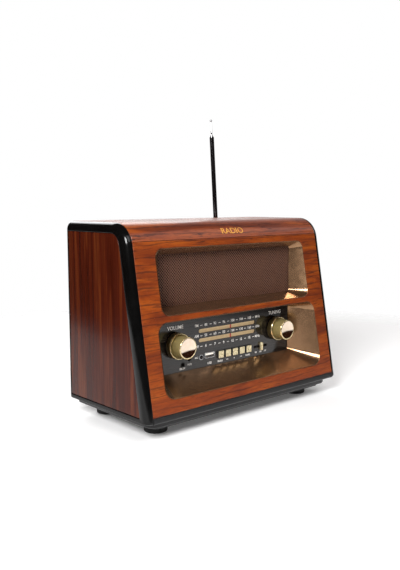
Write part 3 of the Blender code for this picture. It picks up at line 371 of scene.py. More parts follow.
def toMesh(bm, name):
    mesh = bpy.data.meshes.new(name)
    bm.to_mesh(mesh)
    bm.free()
    return mesh


def weldedMesh(bm, name):
    bmesh.ops.remove_doubles(bm, verts=bm.verts, dist=1e-7)
    bmesh.ops.recalc_face_normals(bm, faces=bm.faces)
    return toMesh(bm, name)


# Faces between loops of equal length; bands gives a material index for each band of faces.
def skin(bm, loops, ring=False, bands=None):
    rows = [[bm.verts.new(point) for point in loop] for loop in loops]
    pairs = list(zip(rows, rows[1:])) + ([(rows[-1], rows[0])] if ring else [])
    for k, (low, high) in enumerate(pairs):
        for i in range(len(low)):
            j = (i + 1) % len(low)
            face = bm.faces.new((low[i], low[j], high[j], high[i]))
            face.material_index = bands[k] if bands else 0
    if not ring:
        bm.faces.new(rows[0]).material_index = bands[0] if bands else 0
        bm.faces.new(rows[-1]).material_index = bands[-1] if bands else 0


def loftPiece(name, loops, look, replaced=(), body="cabinet", ring=False, edge=0.0, sharp=35):
    bm = bmesh.new()
    skin(bm, loops, ring)
    settle(name, weldedMesh(bm, name), [look], body, replaced, edge, sharp)


# A turned piece from (along the axis, radius) pairs.
def turnedPiece(name, profile, at, finishKeys, replaced=(), body="cabinet", axis=(0, 1, 0),
                sides=64, ring=False, bands=None, sharp=35):
    axis = Vector(axis)
    side = Vector((1, 0, 0)) if abs(axis.x) < 0.9 else Vector((0, 0, 1))
    across = axis.cross(side).normalized()
    side = across.cross(axis).normalized()
    at = Vector(at)
    loops = []
    for along, radius in profile:
        loops.append([
            at + axis * along + (side * cos(2 * pi * i / sides) + across * sin(2 * pi * i / sides)) * radius
            for i in range(sides)
        ])
    bm = bmesh.new()
    skin(bm, loops, ring, bands)
    settle(name, weldedMesh(bm, name), finishKeys, body, replaced, sharp=sharp)


# A flat plate with holes: (x, z) outlines put on a plane by place, thickened along inward.
def platePiece(name, outer, holes, place, inward, look, replaced=(), body="cabinet", edge=0.0):
    bm = bmesh.new()
    for outline in [outer, *holes]:
        verts = [bm.verts.new(place(p)) for p in outline]
        for i, vert in enumerate(verts):
            bm.edges.new((vert, verts[(i + 1) % len(verts)]))
    bmesh.ops.triangle_fill(bm, use_beauty=True, use_dissolve=False, edges=bm.edges[:])
    grown = bmesh.ops.extrude_face_region(bm, geom=bm.faces[:])
    moved = [v for v in grown["geom"] if isinstance(v, bmesh.types.BMVert)]
    bmesh.ops.translate(bm, vec=Vector(inward), verts=moved)
    settle(name, weldedMesh(bm, name), [look], body, replaced, edge)


# A rounded key that fills a node's box: filleted face, faintly dished. Its sides and the outer half of its
# fillet take the black second finish, as painted shade on the key's edges and the gaps between keys.
def padPiece(name, node, finishKeys, body, radius, fillet, dish=0.0, steps=4):
    low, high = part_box(node)

    def loopAt(inset, y):
        return [(x, y, z) for x, z in aroundNode(node, -inset, max(radius - inset, 0.0001), 6)]

    loops = [loopAt(0.0, high.y)]
    for step in range(steps + 1):
        angle = pi / 2 * step / steps
        loops.append(loopAt(fillet * (1 - cos(angle)), low.y + fillet * (1 - sin(angle))))
    reach = min(high.x - low.x, high.z - low.z) / 2 - fillet
    for share in (0.35, 0.7, 0.95):
        loops.append(loopAt(fillet + reach * share * 0.98, low.y + dish * (1 - (1 - share) ** 2)))
    bm = bmesh.new()
    # Band 1, the black finish, on the sides and outer fillet: painted shade
    skin(bm, loops, bands=[1, 1, 1] + [0] * (len(loops) - 4))
    settle(name, weldedMesh(bm, name), finishKeys, body, (node,), sharp=60)


# Cabinet
inlay = dict(front=0.0118, top=0.0098, bottom=0.0050, rear=0.0018, deep=0.0033, edge=0.0005, lip=0.0004)
roll = dict(bottom=0.0012, rear=0.0008, steps=14, cornerSteps=18, innerFillet=0.0005)


def sideOutline(front, top, bottom, rear, steps):
    low, high, back = cabinetBottom + bottom, topZ - top, backY - rear
    shift = front / cos(lean)
    corners = [(frontY(low) + shift, low), (back, low), (back, high), (frontY(high) + shift, high)]
    small = max(0.0006, 0.0030 - bottom)
    return roundedOutline(corners, [small, small, small, topCorner - front], steps)


def makeSides():
    steps = roll["cornerSteps"]
    for side, sign in (("left", -1), ("right", 1)):
        loops = []

        def addLoop(x, outline):
            loops.append([(sign * x, y, z) for y, z in outline])

        fillet = roll["innerFillet"]
        for step in range(4):
            angle = pi / 2 * step / 3
            inset = fillet * (1 - sin(angle))
            addLoop(sideInner + fillet * (1 - cos(angle)), sideOutline(inset, inset, inset, inset, steps))
        for step in range(1, roll["steps"] + 1):
            angle = pi / 2 * step / roll["steps"]
            bow = 1 - cos(angle)
            reach = sideInner + fillet + (rim - fillet) * sin(angle)
            addLoop(reach, sideOutline(rim * bow, rim * bow, roll["bottom"] * bow, roll["rear"] * bow, steps))
        lip = inlay["lip"]
        inner = [inlay[key] for key in ("front", "top", "bottom", "rear")]
        addLoop(halfWidth, sideOutline(*[v - lip for v in inner], steps))
        addLoop(halfWidth - lip * 0.3, sideOutline(*[v - lip * 0.3 for v in inner], steps))
        addLoop(halfWidth - lip, sideOutline(*inner, steps))
        addLoop(halfWidth - inlay["deep"], sideOutline(*inner, steps))
        loftPiece(f"rim_{side}", loops, "pianoBlack", (f"{side}_side_frame",), sharp=50)

        fitted = [v + gap for v in inner]
        edge = inlay["edge"]
        loops = []
        addLoop(halfWidth - inlay["deep"] + gap, sideOutline(*fitted, steps))
        for step in range(4):
            angle = pi / 2 * step / 3
            inset = edge * (1 - cos(angle))
            reach = halfWidth - gap - edge * (1 - sin(angle))
            addLoop(reach, sideOutline(*[v + inset for v in fitted], steps))
        loftPiece(f"inlay_{side}", loops, "sideVeneer", (f"{side}_side_panel",), sharp=50)


# The bend from the front plane over to the top, seen from the side.
def bentPath(startZ, inset, steps=28):
    centreZ = topZ - topCorner
    centreY = frontY(centreZ) + topCorner / cos(lean)
    start = Vector((frontY(startZ), startZ)) + Vector((cos(lean), -sin(lean))) * inset
    path = [tuple(start)]
    for step in range(steps + 1):
        angle = pi - lean - (pi / 2 - lean) * step / steps
        y = centreY + (topCorner - inset) * cos(angle)
        z = centreZ + (topCorner - inset) * sin(angle)
        if z > start.y + 0.0005:
            path.append((y, z))
    return path + [(backY, topZ - inset)]


windowRadius = {"speaker_bezel": 0.0095, "dial_bezel": 0.0120}


def makeBoards():
    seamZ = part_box("front_panel")[1].z + gap
    boardHalf = sideInner - gap
    outline = bentPath(seamZ, 0.0) + bentPath(seamZ, board)[::-1]
    xs = (-boardHalf, boardHalf)
    loftPiece("top_board", [[(x, y, z) for y, z in outline] for x in xs], "frontVeneer",
              ("top_panel",), edge=0.0008)
    holes = []
    for bezel, radius in windowRadius.items():
        holes.append(aroundNode(bezel, gap, radius, 12))
    outer = square(-boardHalf, boardHalf, woodLow.z, seamZ - gap)
    inward = (0, board * cos(lean), -board * sin(lean))
    platePiece("front_board", outer, holes, lambda p: (p[0], frontY(p[1]), p[1]), inward,
               "frontVeneer", ("front_panel",), edge=0.0005)


bezelShape = dict(wall=0.0012, proud=0.00015, lip=0.0006, innerRadius=0.003, cornerSteps=16)


# A metal funnel from a window in the sloping board down to the upright plate.
def makeBezel(name, node, plate):
    low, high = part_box(node)
    half, zLow, zHigh = high.x + gap, low.z - gap, high.z + gap
    plateLow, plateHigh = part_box(plate)
    inner = (plateHigh.x - flange, plateLow.z + flange, plateHigh.z - flange)
    radius, steps = windowRadius[node], bezelShape["cornerSteps"]
    proud, lip, wall = bezelShape["proud"], bezelShape["lip"], bezelShape["wall"]
    back = dialY - gap

    def mouth(inset, out):
        outline = rectangle(-half + inset, half - inset, zLow + inset, zHigh - inset, radius - inset, steps)
        return [(x, frontY(z) - out / cos(lean), z) for x, z in outline]

    def ringAt(y, grow):
        innerHalf, innerLow, innerHigh = inner
        return [(x, y, z) for x, z in rectangle(-innerHalf - grow, innerHalf + grow, innerLow - grow,
                                                innerHigh + grow, bezelShape["innerRadius"] + grow, steps)]

    loops = [mouth(gap, -0.003), mouth(gap, proud * 0.5), mouth(gap + 0.0001, proud * 0.85),
             mouth(gap + 0.0002, proud), mouth(lip - 0.0002, proud), mouth(lip - 0.0001, proud * 0.75),
             mouth(lip, 0.0)]
    start, end = mouth(lip, 0.0), ringAt(back - 0.0003, 0.0)
    for share in (0.03, 0.25, 0.5, 0.75, 0.97):
        loops.append([tuple(Vector(a).lerp(Vector(b), share)) for a, b in zip(start, end)])
    loops += [end, ringAt(back, 0.0003), ringAt(back, flange), ringAt(back - wall, flange),
              ringAt(back - wall, wall)]
    loftPiece(name, loops, "bronze", (node,), ring=True, sharp=45)


base = dict(
    trayEdge=0.0022,
    upperBottom=0.0125,
    # Insets at front and sides and at the rear, corner radii at front and rear, edge radius
    upper=dict(look="charcoal", inset=0.0090, rearInset=0.0006, radii=(0.012, 0.002), soft=0.0016),
    # The lower deck's black textured finish is painted shade: it stands for the dark shadow under the cabinet
    lower=dict(look="textured", inset=0.0155, rearInset=0.0078, radii=(0.010, 0.010), soft=0.0012),
)


# Tray between the rims and two stepped decks under it, every lower edge rolled.
def makeBase():
    trayTop = woodLow.z - gap
    boardHalf = sideInner - gap
    edge = base["trayEdge"]
    outline = [(backY, trayTop), (frontY(trayTop), trayTop)]
    for step in range(9):
        angle = pi / 2 * step / 8
        z = cabinetBottom + edge * (1 - sin(angle))
        outline.append((frontY(z) + edge * (1 - cos(angle)), z))
    outline += [(backY - 0.0006, cabinetBottom), (backY, cabinetBottom + 0.0006)]
    loftPiece("base_tray_skirt", [[(x, y, z) for y, z in outline] for x in (-boardHalf, boardHalf)],
              "charcoal", ("base_tray",), sharp=40)

    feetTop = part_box("foot_front_left")[1].z + gap
    spans = dict(upper=(base["upperBottom"], cabinetBottom + 0.0006),
                 lower=(feetTop, base["upperBottom"] + 0.0008))
    for deck, (low, high) in spans.items():
        spec = base[deck]
        inset, soft = spec["inset"], spec["soft"]
        frontRadius, rearRadius = spec["radii"]
        loops = []
        for step in range(6):
            angle = pi / 2 * step / 5
            shrink = soft * (1 - sin(angle))
            x = halfWidth - inset - shrink
            front, rear = frontLowY + inset * 0.75 + shrink, backY - spec["rearInset"] - shrink
            corners = [(-x, front), (x, front), (x, rear), (-x, rear)]
            bends = [max(r - shrink, 0.0004) for r in (frontRadius, frontRadius, rearRadius, rearRadius)]
            z = low + soft * (1 - cos(angle))
            loops.append([(px, py, z) for px, py in roundedOutline(corners, bends, 10)])
        loops.append([(px, py, high) for px, py, z in loops[-1]])
        loftPiece(f"plinth_{deck}", loops, spec["look"], sharp=40)


def makeFeet():
    for end in ("front", "rear"):
        for side in ("left", "right"):
            node = f"foot_{end}_{side}"
            low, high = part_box(node)
            radius, tall = (high.x - low.x) / 2, high.z
            middle = (low + high) / 2
            profile = [(0, radius * 0.62), (0.0002, radius * 0.80), (0.0002, radius - 0.0014),
                       (0.0006, radius - 0.0005), (0.0014, radius), (tall, radius)]
            turnedPiece(f"pad_{end}_{side}", profile, (middle.x, middle.y, 0), ["rubber"],
                        (node,), axis=(0, 0, 1), sides=48)


# Speaker grille
# pitchMm runs along a row and a column, so neighbours on the diagonals are 2.2 mm apart.
punched = dict(pitchMm=3.1, holeMm=1.95, lipMm=0.1, sheetMm=0.35, border=0.0012, proud=0.00004)


# Punched sheet with holes in a 45 degree stagger, and the dark cloth behind it.
def makeGrille():
    low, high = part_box("speaker_grille")
    half = punched["pitchMm"] / 2000
    hole, lip, sheet = punched["holeMm"] / 2000, punched["lipMm"] / 1000, punched["sheetMm"] / 1000
    face = low.y + punched["proud"]
    cell = [(half, 0), (half / 2, half / 2), (0, half), (-half / 2, half / 2),
            (-half, 0), (-half / 2, -half / 2), (0, -half), (half / 2, -half / 2)]
    angles = [2 * pi * i / 8 for i in range(8)]
    midZ = (low.z + high.z) / 2
    columns = int((high.x - punched["border"]) / half)
    rows = int((high.z - midZ - punched["border"]) / half)
    verts, faces = [], []
    for j in range(-rows + 1, rows):
        for i in range(-columns + 1, columns):
            if (i + j) % 2:
                continue
            x, z = i * half, midZ + j * half
            start = len(verts)
            verts += [(x + px, face, z + pz) for px, pz in cell]
            for radius, deep in ((hole + lip, 0.0), (hole, lip), (hole, sheet)):
                verts += [(x + radius * cos(t), face + deep, z + radius * sin(t)) for t in angles]
            for ring in range(3):
                p, q = start + ring * 8, start + ring * 8 + 8
                for k in range(8):
                    n = (k + 1) % 8
                    faces.append((p + n, p + k, q + k, q + n))
    mesh = bpy.data.meshes.new("grille_sheet")
    mesh.from_pydata(verts, [], faces)
    mesh.update()
    settle("grille_sheet", mesh, ["grillePaint"], "cabinet", ("speaker_grille",), sharp=50)
    outline = rectangle(low.x, high.x, low.z, high.z, 0.004, 4)
    loftPiece("grille_cloth", slab(outline, low.y + 0.0008, low.y + 0.0012), "cloth")


# Dial
keyNames = ("mode", "back", "play", "next", "band")
dial = dict(corner=0.004, slotTall=0.004, slotHalf=0.0422, slotHeights=(0.0807, 0.0906), shaftHole=0.0038,
            leverReach=0.0105, leverSlot=0.0013, socketHole=0.0028, lensHole=0.0019)


def makeDial():
    low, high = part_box("dial_panel")
    shaft = boxCentre("tuning_spindle")
    tall, half = dial["slotTall"] / 2, dial["slotHalf"]
    holes = [rectangle(-half, half, z - tall, z + tall, tall - 0.0001, 10) for z in dial["slotHeights"]]
    holes += [circle(sign * shaft.x, shaft.z, dial["shaftHole"]) for sign in (-1, 1)]
    holes += [aroundNode("button_" + key, gap, 0.0009, 4) for key in keyNames]
    holes.append(aroundNode("usb_socket", 0.0002, 0.0004, 2))
    lever, reach, tall = boxCentre("band_switch_lever"), dial["leverReach"], dial["leverSlot"]
    holes.append(rectangle(lever.x - reach, lever.x + reach, lever.z - tall, lever.z + tall, 0.0005, 3))
    for node, size in (("aux_socket", "socketHole"), ("dc_socket", "socketHole"), ("power_lens", "lensHole")):
        middle = boxCentre(node)
        holes.append(circle(middle.x, middle.z, dial[size], 24))
    outer = rectangle(low.x, high.x, low.z, high.z, dial["corner"], 6)
    platePiece("dial_plate", outer, holes, lambda p: (p[0], dialY, p[1]), (0, high.y - low.y, 0),
               "smoked", ("dial_panel",), edge=0.0002)


# Printed legends: text, x, z, letter height, all in mm. Generic words and frequencies.
rowPlaces = [-45.5 + 13.0 * i for i in range(8)]
legendRows = (
    (96.6, ("FM", "88", "92", "96", "100", "104", "108", "MHz")),
    (85.6, ("AM", "53", "60", "80", "100", "130", "160", "kHz")),
    (74.4, ("SW", "6", "7", "9", "12", "15", "18", "MHz")),
)
legends = [(word, x, z, 2.9) for z, words in legendRows for word, x in zip(words, rowPlaces)]
legends += [
    ("VOLUME", -74.1, 98.2, 3.9), ("TUNING", 74.1, 98.2, 3.9), ("USB", -27.4, 54.9, 2.5),
    ("AUX", -55.4, 57.9, 1.9), ("DC 5V", -65.0, 54.6, 1.9), ("MIC", -45.6, 62.9, 2.0),
    ("MODE", -11.8, 54.7, 1.9), ("<<", -1.2, 54.9, 1.9), (">", 9.4, 54.9, 1.9), (">>", 20.0, 54.9, 1.9),
    ("BAND", 30.6, 55.0, 1.9), ("FM", 43.4, 55.9, 1.8), ("AM", 51.0, 55.9, 1.8), ("SW", 58.6, 55.9, 1.8),
]
dash = dict(fromMm=5.0, toMm=8.0, halfMm=0.25)      # between the numbers, from the middle of the left one


# Filled letters as a mesh, centred, about height tall, lying in x and y.
def letterMesh(word, height, thick, bold=0.0):
    curve = bpy.data.curves.new("letters", "FONT")
    curve.body, curve.size, curve.extrude = word, height * 1.38, thick / 2
    curve.align_x, curve.align_y = "CENTER", "CENTER"
    curve.resolution_u = 3
    curve.offset = bold
    holder = bpy.data.objects.new("letters", curve)
    scene.collection.objects.link(holder)
    bpy.context.view_layer.update()
    shape = holder.evaluated_get(bpy.context.evaluated_depsgraph_get())
    mesh = bpy.data.meshes.new_from_object(shape)
    bpy.data.objects.remove(holder)
    bpy.data.curves.remove(curve)
    return mesh


def makeLegends():
    bm = bmesh.new()
    for word, x, z, height in legends:
        letters = letterMesh(word, height / 1000, 0.00003, 0.00006)
        first = len(bm.verts)
        bm.from_mesh(letters)
        bpy.data.meshes.remove(letters)
        bm.verts.ensure_lookup_table()
        for vert in bm.verts[first:]:
            u, v, w = vert.co
            vert.co = (x / 1000 + u, dialY - 0.00003 - w, z / 1000 + v)
    for z in [row[0] for row in legendRows]:
        for x in rowPlaces[:-1]:
            edges = (x + dash["fromMm"], x + dash["toMm"], z - dash["halfMm"], z + dash["halfMm"])
            skin(bm, slab(square(*[edge / 1000 for edge in edges]), dialY - 0.00005, dialY))
    # The ink's glow is painted light on the legends
    settle("dial_legends", toMesh(bm, "dial_legends"), ["ink"], "cabinet", sharp=30)


badge = dict(word="RADIO", tall=0.0070, thick=0.0003, widthShare=0.92, proud=0.00022)


# Plain gold capitals that follow the bend of the board.
def makeBadge():
    low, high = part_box("badge")
    letters = letterMesh(badge["word"], badge["tall"], badge["thick"])
    wide = max(v.co.x for v in letters.vertices) * 2
    share = (high.x - low.x) * badge["widthShare"] / wide
    centreZ = topZ - topCorner
    centreY = frontY(centreZ) + topCorner / cos(lean)
    middle = (low.z + high.z) / 2
    bm = bmesh.new()
    bm.from_mesh(letters)
    bpy.data.meshes.remove(letters)
    startAngle = pi - atan2(middle - centreZ, (topCorner ** 2 - (middle - centreZ) ** 2) ** 0.5)
    for vert in bm.verts:
        u, v, w = vert.co
        radius = topCorner + badge["proud"] + w
        angle = startAngle - v / topCorner
        vert.co = (u * share, centreY + radius * cos(angle), centreZ + radius * sin(angle))
    settle("badge_letters", toMesh(bm, "badge_letters"), ["gold"], "cabinet", ("badge",), sharp=30)


# Controls
knob = dict(skirtR=0.0135, capR=0.0112, capFront=-0.0200, dish=0.0011, bore=0.0033)


# Skirt with a bright ring round a sunk olive face, and a dished polished cap.
def makeKnob(label, sign):
    shaft = boxCentre("tuning_spindle")
    at = (sign * shaft.x, dialY, shaft.z)
    body, r = f"{label}_knob", knob["skirtR"]
    profile = [(-0.0006, r - 0.0007), (-0.0008, r - 0.0002), (-0.0012, r), (-0.0070, r),
               (-0.0075, r - 0.0001), (-0.0078, r - 0.0003), (-0.0079, r - 0.0006), (-0.0078, r - 0.0010),
               (-0.0072, r - 0.0013), (-0.0067, r - 0.0015), (-0.0066, r - 0.0018), (-0.0066, knob["bore"]),
               (-0.0006, knob["bore"])]
    bands = [0, 0, 0, 1, 1, 1, 1, 1, 1, 2, 2, 2, 0]
    # First finish, the darker bronze: painted shade on the skirt's outer wall
    turnedPiece(f"{label}_skirt", profile, at, ["shadedBronze", "champagne", "olive"],
                (f"{label}_knob_skirt",), body, ring=True, bands=bands, sides=96)
    c, front = knob["capR"], knob["capFront"]
    profile = [(-0.0069, 0.0040), (-0.0069, c - 0.0006), (-0.0072, c - 0.0002), (-0.0078, c), (-0.0192, c),
               (-0.0196, c - 0.0001), (-0.0199, c - 0.0004), (front, c - 0.0008), (front, c - 0.0012),
               (front + 0.0002, c - 0.0014)]
    bands = [0, 0, 0, 0, 1, 1, 1, 1, 1]
    dished = c - 0.0014
    for share in (0.95, 0.85, 0.7, 0.5, 0.3, 0.1, 0.01):
        profile.append((front + 0.0002 + knob["dish"] * (1 - share ** 2), dished * share))
        bands.append(2)
    turnedPiece(f"{label}_cap", profile, at, ["olive", "champagne", "mirror"],
                (f"{label}_knob_cap",), body, bands=bands, sides=96)


def makeKeys():
    for key in keyNames:
        # Second finish black: painted shade on each key's sides and fillet
        padPiece(f"key_{key}_cap", "button_" + key, ["keyGold", "textured"],
                 f"key_{key}", radius=0.0009, fillet=0.0006, dish=0.0002)


def makeSwitch():
    low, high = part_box("band_switch_lever")
    middle = (low + high) / 2
    loops = []
    for inset, deep in ((0.0, 0.0030), (0.0, 0.0010), (0.0001, 0.0005), (0.0004, 0.0001), (0.0009, 0.0)):
        outline = aroundNode("band_switch_lever", -inset, 0.0010 - inset * 0.8, 5)
        loops.append([(x, low.y + deep, z) for x, z in outline])
    loftPiece("band_lever_cap", loops, "keyGold", ("band_switch_lever",), "band_lever", sharp=50)
    half = 0.0009
    outline = rectangle(middle.x - half, middle.x + half, middle.z - half, middle.z + half, 0.0002, 2)
    loftPiece("band_lever_blade", slab(outline, low.y + 0.0029, high.y), "textured",
              body="band_lever")


# USB shell with its tongue and contacts, two round sockets and the pilot lens.
usb = dict(wall=0.0005, tongueHalf=0.0055, contactHalf=0.0005, firstContact=-0.0035, contactPitch=0.00233)


def makeSockets():
    low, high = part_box("usb_socket")
    wall = usb["wall"]
    loops = []
    for inset, y in ((0, high.y), (0, low.y + 0.0001), (0.0001, low.y), (wall - 0.0001, low.y),
                     (wall, low.y + 0.0001), (wall, high.y - 0.0006)):
        outline = aroundNode("usb_socket", -inset, 0.0006 - inset * 0.6, 4)
        loops.append([(x, y, z) for x, z in outline])
    loftPiece("usb_shell", loops, "steel", ("usb_socket",), sharp=40)
    middle, half = (low + high) / 2, usb["tongueHalf"]
    outline = rectangle(middle.x - half, middle.x + half, middle.z + 0.0002, middle.z + 0.0019, 0.0001, 1)
    # The opal tongue glows: painted light, a highlight drawn into its colour
    loftPiece("usb_tongue", slab(outline, low.y + 0.0002, high.y - 0.0008), "opal", edge=0.0001)
    bm = bmesh.new()
    half = usb["contactHalf"]
    for i in range(4):
        x = middle.x + usb["firstContact"] + i * usb["contactPitch"]
        outline = square(x - half, x + half, middle.z - 0.0001, middle.z + 0.0002)
        skin(bm, slab(outline, low.y + 0.0016, high.y - 0.0010))
    settle("usb_contacts", weldedMesh(bm, "usb_contacts"), ["gold"], "cabinet")
    for label, bore in (("aux", 0.00178), ("dc", 0.0016)):
        at = boxCentre(label + "_socket")
        profile = [(0.0078, 0.0034), (0.0024, 0.0034), (0.0024, 0.0024), (-0.0003, 0.0024), (-0.0006, 0.0021),
                   (-0.0006, bore + 0.0002), (-0.0004, bore), (0.0070, bore), (0.0070, 0.0003)]
        turnedPiece(label + "_ring", profile, (at.x, dialY, at.z), ["textured"],
                    (label + "_socket",), sides=36)
    at = boxCentre("power_lens")
    at.y = dialY
    profile = [(0.0078, 0.0015), (0.0001, 0.0015), (-0.0002, 0.0014), (-0.0004, 0.0010), (-0.0005, 0.0003)]
    turnedPiece("pilot_lens", profile, at, ["smoked"], ("power_lens",), sides=32)
    ring = [(-0.0001, 0.0027), (-0.0003, 0.0027), (-0.0003, 0.0023), (-0.0001, 0.0023)]
    turnedPiece("pilot_ring", ring, at, ["steel"], sides=32, ring=True)


# Antenna
antenna = dict(radius=0.00275, wall=0.00035, foot=0.0050, nest=0.0014, turnIn=0.0009, rodShows=0.0178,
               ball=0.0015, elbowUp=0.010, cheekAt=0.0024, cheekHalf=0.0009, pinAt=0.0033)
jointNamed = {joint["name"]: joint for joint in frame["joints"]}
mastUp = Vector(jointNamed["antenna_draw_2"]["axis"])
elbow = Vector(jointNamed["antenna_tilt"]["pos_m"])


# Sections with rolled tops, read from the CAD tubes' boxes along the leaning axis.
def makeMast():
    def alongTop(node):
        return (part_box(node)[1].z - elbow.z) / mastUp.z

    radius, wall, foot, turnIn = (antenna[key] for key in ("radius", "wall", "foot", "turnIn"))
    for i, body in enumerate(("antenna_outer", "antenna_second", "antenna_third")):
        node = f"antenna_tube_{i + 1}"
        top = alongTop(node) - 0.0001
        profile = [(foot, radius - 0.0003), (foot + 0.0003, radius), (top - turnIn, radius),
                   (top - turnIn * 0.45, radius - 0.00008), (top - 0.0001, radius - 0.0002),
                   (top, radius - wall * 0.8), (top - 0.0003, radius - wall), (foot + 0.001, radius - wall)]
        look, slotName = ("chrome", "chrome") if i else ("tubeBlack", "tube_black")
        turnedPiece(f"mast_{i + 1}", profile, elbow, [look], (node,) if i else (),
                    body, axis=mastUp, sides=48)
        radius -= wall + gap
        foot += antenna["nest"]
    rodLow = foot + antenna["rodShows"]
    tip, ball = alongTop("antenna_rod"), antenna["ball"]
    profile = [(rodLow, radius - 0.0001), (rodLow + 0.0002, radius), (tip - 0.0034, radius)]
    for step in range(9):
        angle = -pi / 2 * 0.72 + (pi * 0.86) * step / 8
        profile.append((tip - ball + ball * sin(angle), ball * cos(angle)))
    turnedPiece("mast_tip", profile, elbow, ["chrome"], ("antenna_rod",), "antenna_tip",
                axis=mastUp, sides=40)


# Fork, knuckle and pivot screw.
def makeFork():
    back = Vector((0, 1, 0))
    across = back.cross(mastUp).normalized()

    def cheek(name, offset, half, low, high, near, far, look, body, replaced=()):
        outline = rectangle(near, far, low, high, 0.0014, 6)
        loops = [[elbow + across * x + back * y + mastUp * z for y, z in outline]
                 for x in (offset - half, offset + half)]
        loftPiece(name, loops, look, replaced, body, edge=0.0002)

    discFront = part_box("antenna_swivel")[0].y
    near, far = discFront + 0.0010 - elbow.y, 0.0036
    low = -antenna["elbowUp"] - 0.0035
    for side, sign in (("left", -1), ("right", 1)):
        replaced = ("antenna_swivel",) if sign > 0 else ()
        cheek(f"fork_cheek_{side}", sign * antenna["cheekAt"], antenna["cheekHalf"], low, 0.0030, near, far,
              "chrome", "antenna_base", replaced)
    cheek("fork_bridge", 0.0, 0.0016, low, low + 0.0070, near, far, "chrome", "antenna_base")
    swivelAt = boxCentre("antenna_bracket")
    disc = [(0, 0.0044), (0.0002, 0.0048), (0.0019, 0.0048), (0.0022, 0.0045)]
    turnedPiece("swivel_disc", disc, (swivelAt.x, discFront, swivelAt.z), ["chrome"],
                body="antenna_base", sides=48)
    cheek("mast_knuckle", 0.0, 0.0012, -0.0030, antenna["foot"] + 0.0012, -0.0026, 0.0026, "tubeBlack",
          "antenna_outer", ("antenna_tube_1",))
    head = [(0.0, 0.0013), (0.0003, 0.0013), (0.0005, 0.0010), (0.0005, 0.0002)]
    for side, sign in (("left", -1), ("right", 1)):
        turnedPiece(f"fork_pin_{side}", head, elbow + across * sign * antenna["pinAt"], ["steel"],
                    body="antenna_base", axis=across * sign, sides=24)


# Back
cover = dict(screwXs=(-0.124, 0.0, 0.124), screwFromLow=0.008, screwFromTop=0.018,
             screwHead=((0.0026, 0.0), (0.0026, 0.0004), (0.0022, 0.0007), (0.0004, 0.0008)),  # radius, lift
             cross=(0.0015, 0.00028), ribs=5, ribPitch=0.0014, ribHalf=0.009)


# Cross-head screws on the cover, and ribs to grip the cell's door by.
def makeBackDetails():
    doorHigh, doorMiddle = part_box("battery_door")[1], boxCentre("battery_door").x
    outer, half = doorHigh.y, cover["ribHalf"]
    bm = bmesh.new()
    for x in cover["screwXs"]:
        for z in (woodLow.z + cover["screwFromLow"], topZ - cover["screwFromTop"]):
            loops = []
            for radius, lift in cover["screwHead"]:
                loops.append([(px, outer + lift, pz) for px, pz in circle(x, z, radius, 20)])
            skin(bm, loops)
            for wide, tall in (cover["cross"], cover["cross"][::-1]):
                bar = square(x - wide, x + wide, z - tall, z + tall)
                skin(bm, slab(bar, outer + 0.0006, outer + 0.00085))
    settle("back_screws", weldedMesh(bm, "back_screws"), ["steel"], "cabinet", sharp=30)
    bm = bmesh.new()
    for i in range(cover["ribs"]):
        z = doorHigh.z - 0.0035 - i * cover["ribPitch"]
        outline = rectangle(doorMiddle - half, doorMiddle + half, z - 0.0003, z + 0.0003, 0.00025, 3)
        skin(bm, slab(outline, outer - 0.0002, outer + 0.0003))
    settle("door_grip", weldedMesh(bm, "door_grip"), ["textured"], "cell_door", sharp=40)


# Build the pieces
makeSides()
makeBoards()
makeBezel("speaker_funnel", "speaker_bezel", "speaker_grille")
makeBezel("dial_funnel", "dial_bezel", "dial_panel")
makeBase()
makeFeet()
print("cabinet made")
makeGrille()
makeDial()
makeLegends()
makeBadge()
makeKnob("volume", -1)
makeKnob("tuning", 1)
makeKeys()
makeSwitch()
makeSockets()
print("front made")
makeMast()
makeFork()
makeBackDetails()
print("antenna and back made")

# The CAD nodes that stay, with the finish of the real thing; the scale card and the red needle also glow, as
# painted light
kept = dict(
    speaker_baffle="fibreboard", speaker_basket="steel", speaker_cone="paper", speaker_magnet="ferrite",
    dial_scale_plate="scaleCard", dial_pointer="red", pointer_rail="steel", volume_shaft="steel",
    volume_control="steel", tuning_spindle="steel", tuning_drum="textured", tuning_capacitor="textured",
    idler_left="textured", idler_right="textured", dial_cord="cordNylon", band_switch="steel",
    key_board="circuit", main_board="circuit", ferrite_rod="ferrite", ferrite_coil="copper",
    back_cover="textured", battery_door="textured", battery_cell="cellWrap", antenna_bracket="textured",
)
for node, look in kept.items():
    piece = frame["nodes"][node]
    for materialSlot in piece.material_slots:
        materialSlot.material = looks[look]
print("kept nodes finished:", len(kept))

# Studio
studio = dict(
    camera=dict(at=(-0.5189, -0.56515, 0.2252), turn=(83.125, 0.05, -41.975), lens=44.14),
    # Direction from the object, distance, width, height, watts
    softboxes=dict(
        key=((-0.76, -0.43, 0.50), 1.3, 0.40, 0.40, 20),
        fill=((0.62, -0.42, 0.66), 1.3, 0.6, 0.6, 2.3),
        front=((-0.15, -0.75, 0.75), 1.5, 0.9, 0.6, 7),
        back=((0.30, 0.80, 0.55), 1.4, 1.2, 0.5, 9),
    ),
    floor=dict(radius=0.72, middle=0.2, sides=96, tone="#FDFDFD", glow=0.10, fadeFrom=0.8),
    # A dark room with one white wall: which way it lies, how it starts at its sides and ends upwards
    room=dict(tone="#2C1912", wall=(0.669, 0.743, 0.0), sides=(0.45, 0.8), top=(0.3, 0.75), ceiling=0.06),
)


def makeCamera():
    spec = studio["camera"]
    camera = bpy.data.cameras.new("camera")
    camera.lens, camera.sensor_width = spec["lens"], 36
    holder = bpy.data.objects.new("camera", camera)
    holder.location = spec["at"]
    holder.rotation_euler = [radians(v) for v in spec["turn"]]
    scene.collection.objects.link(holder)
    scene.camera = holder


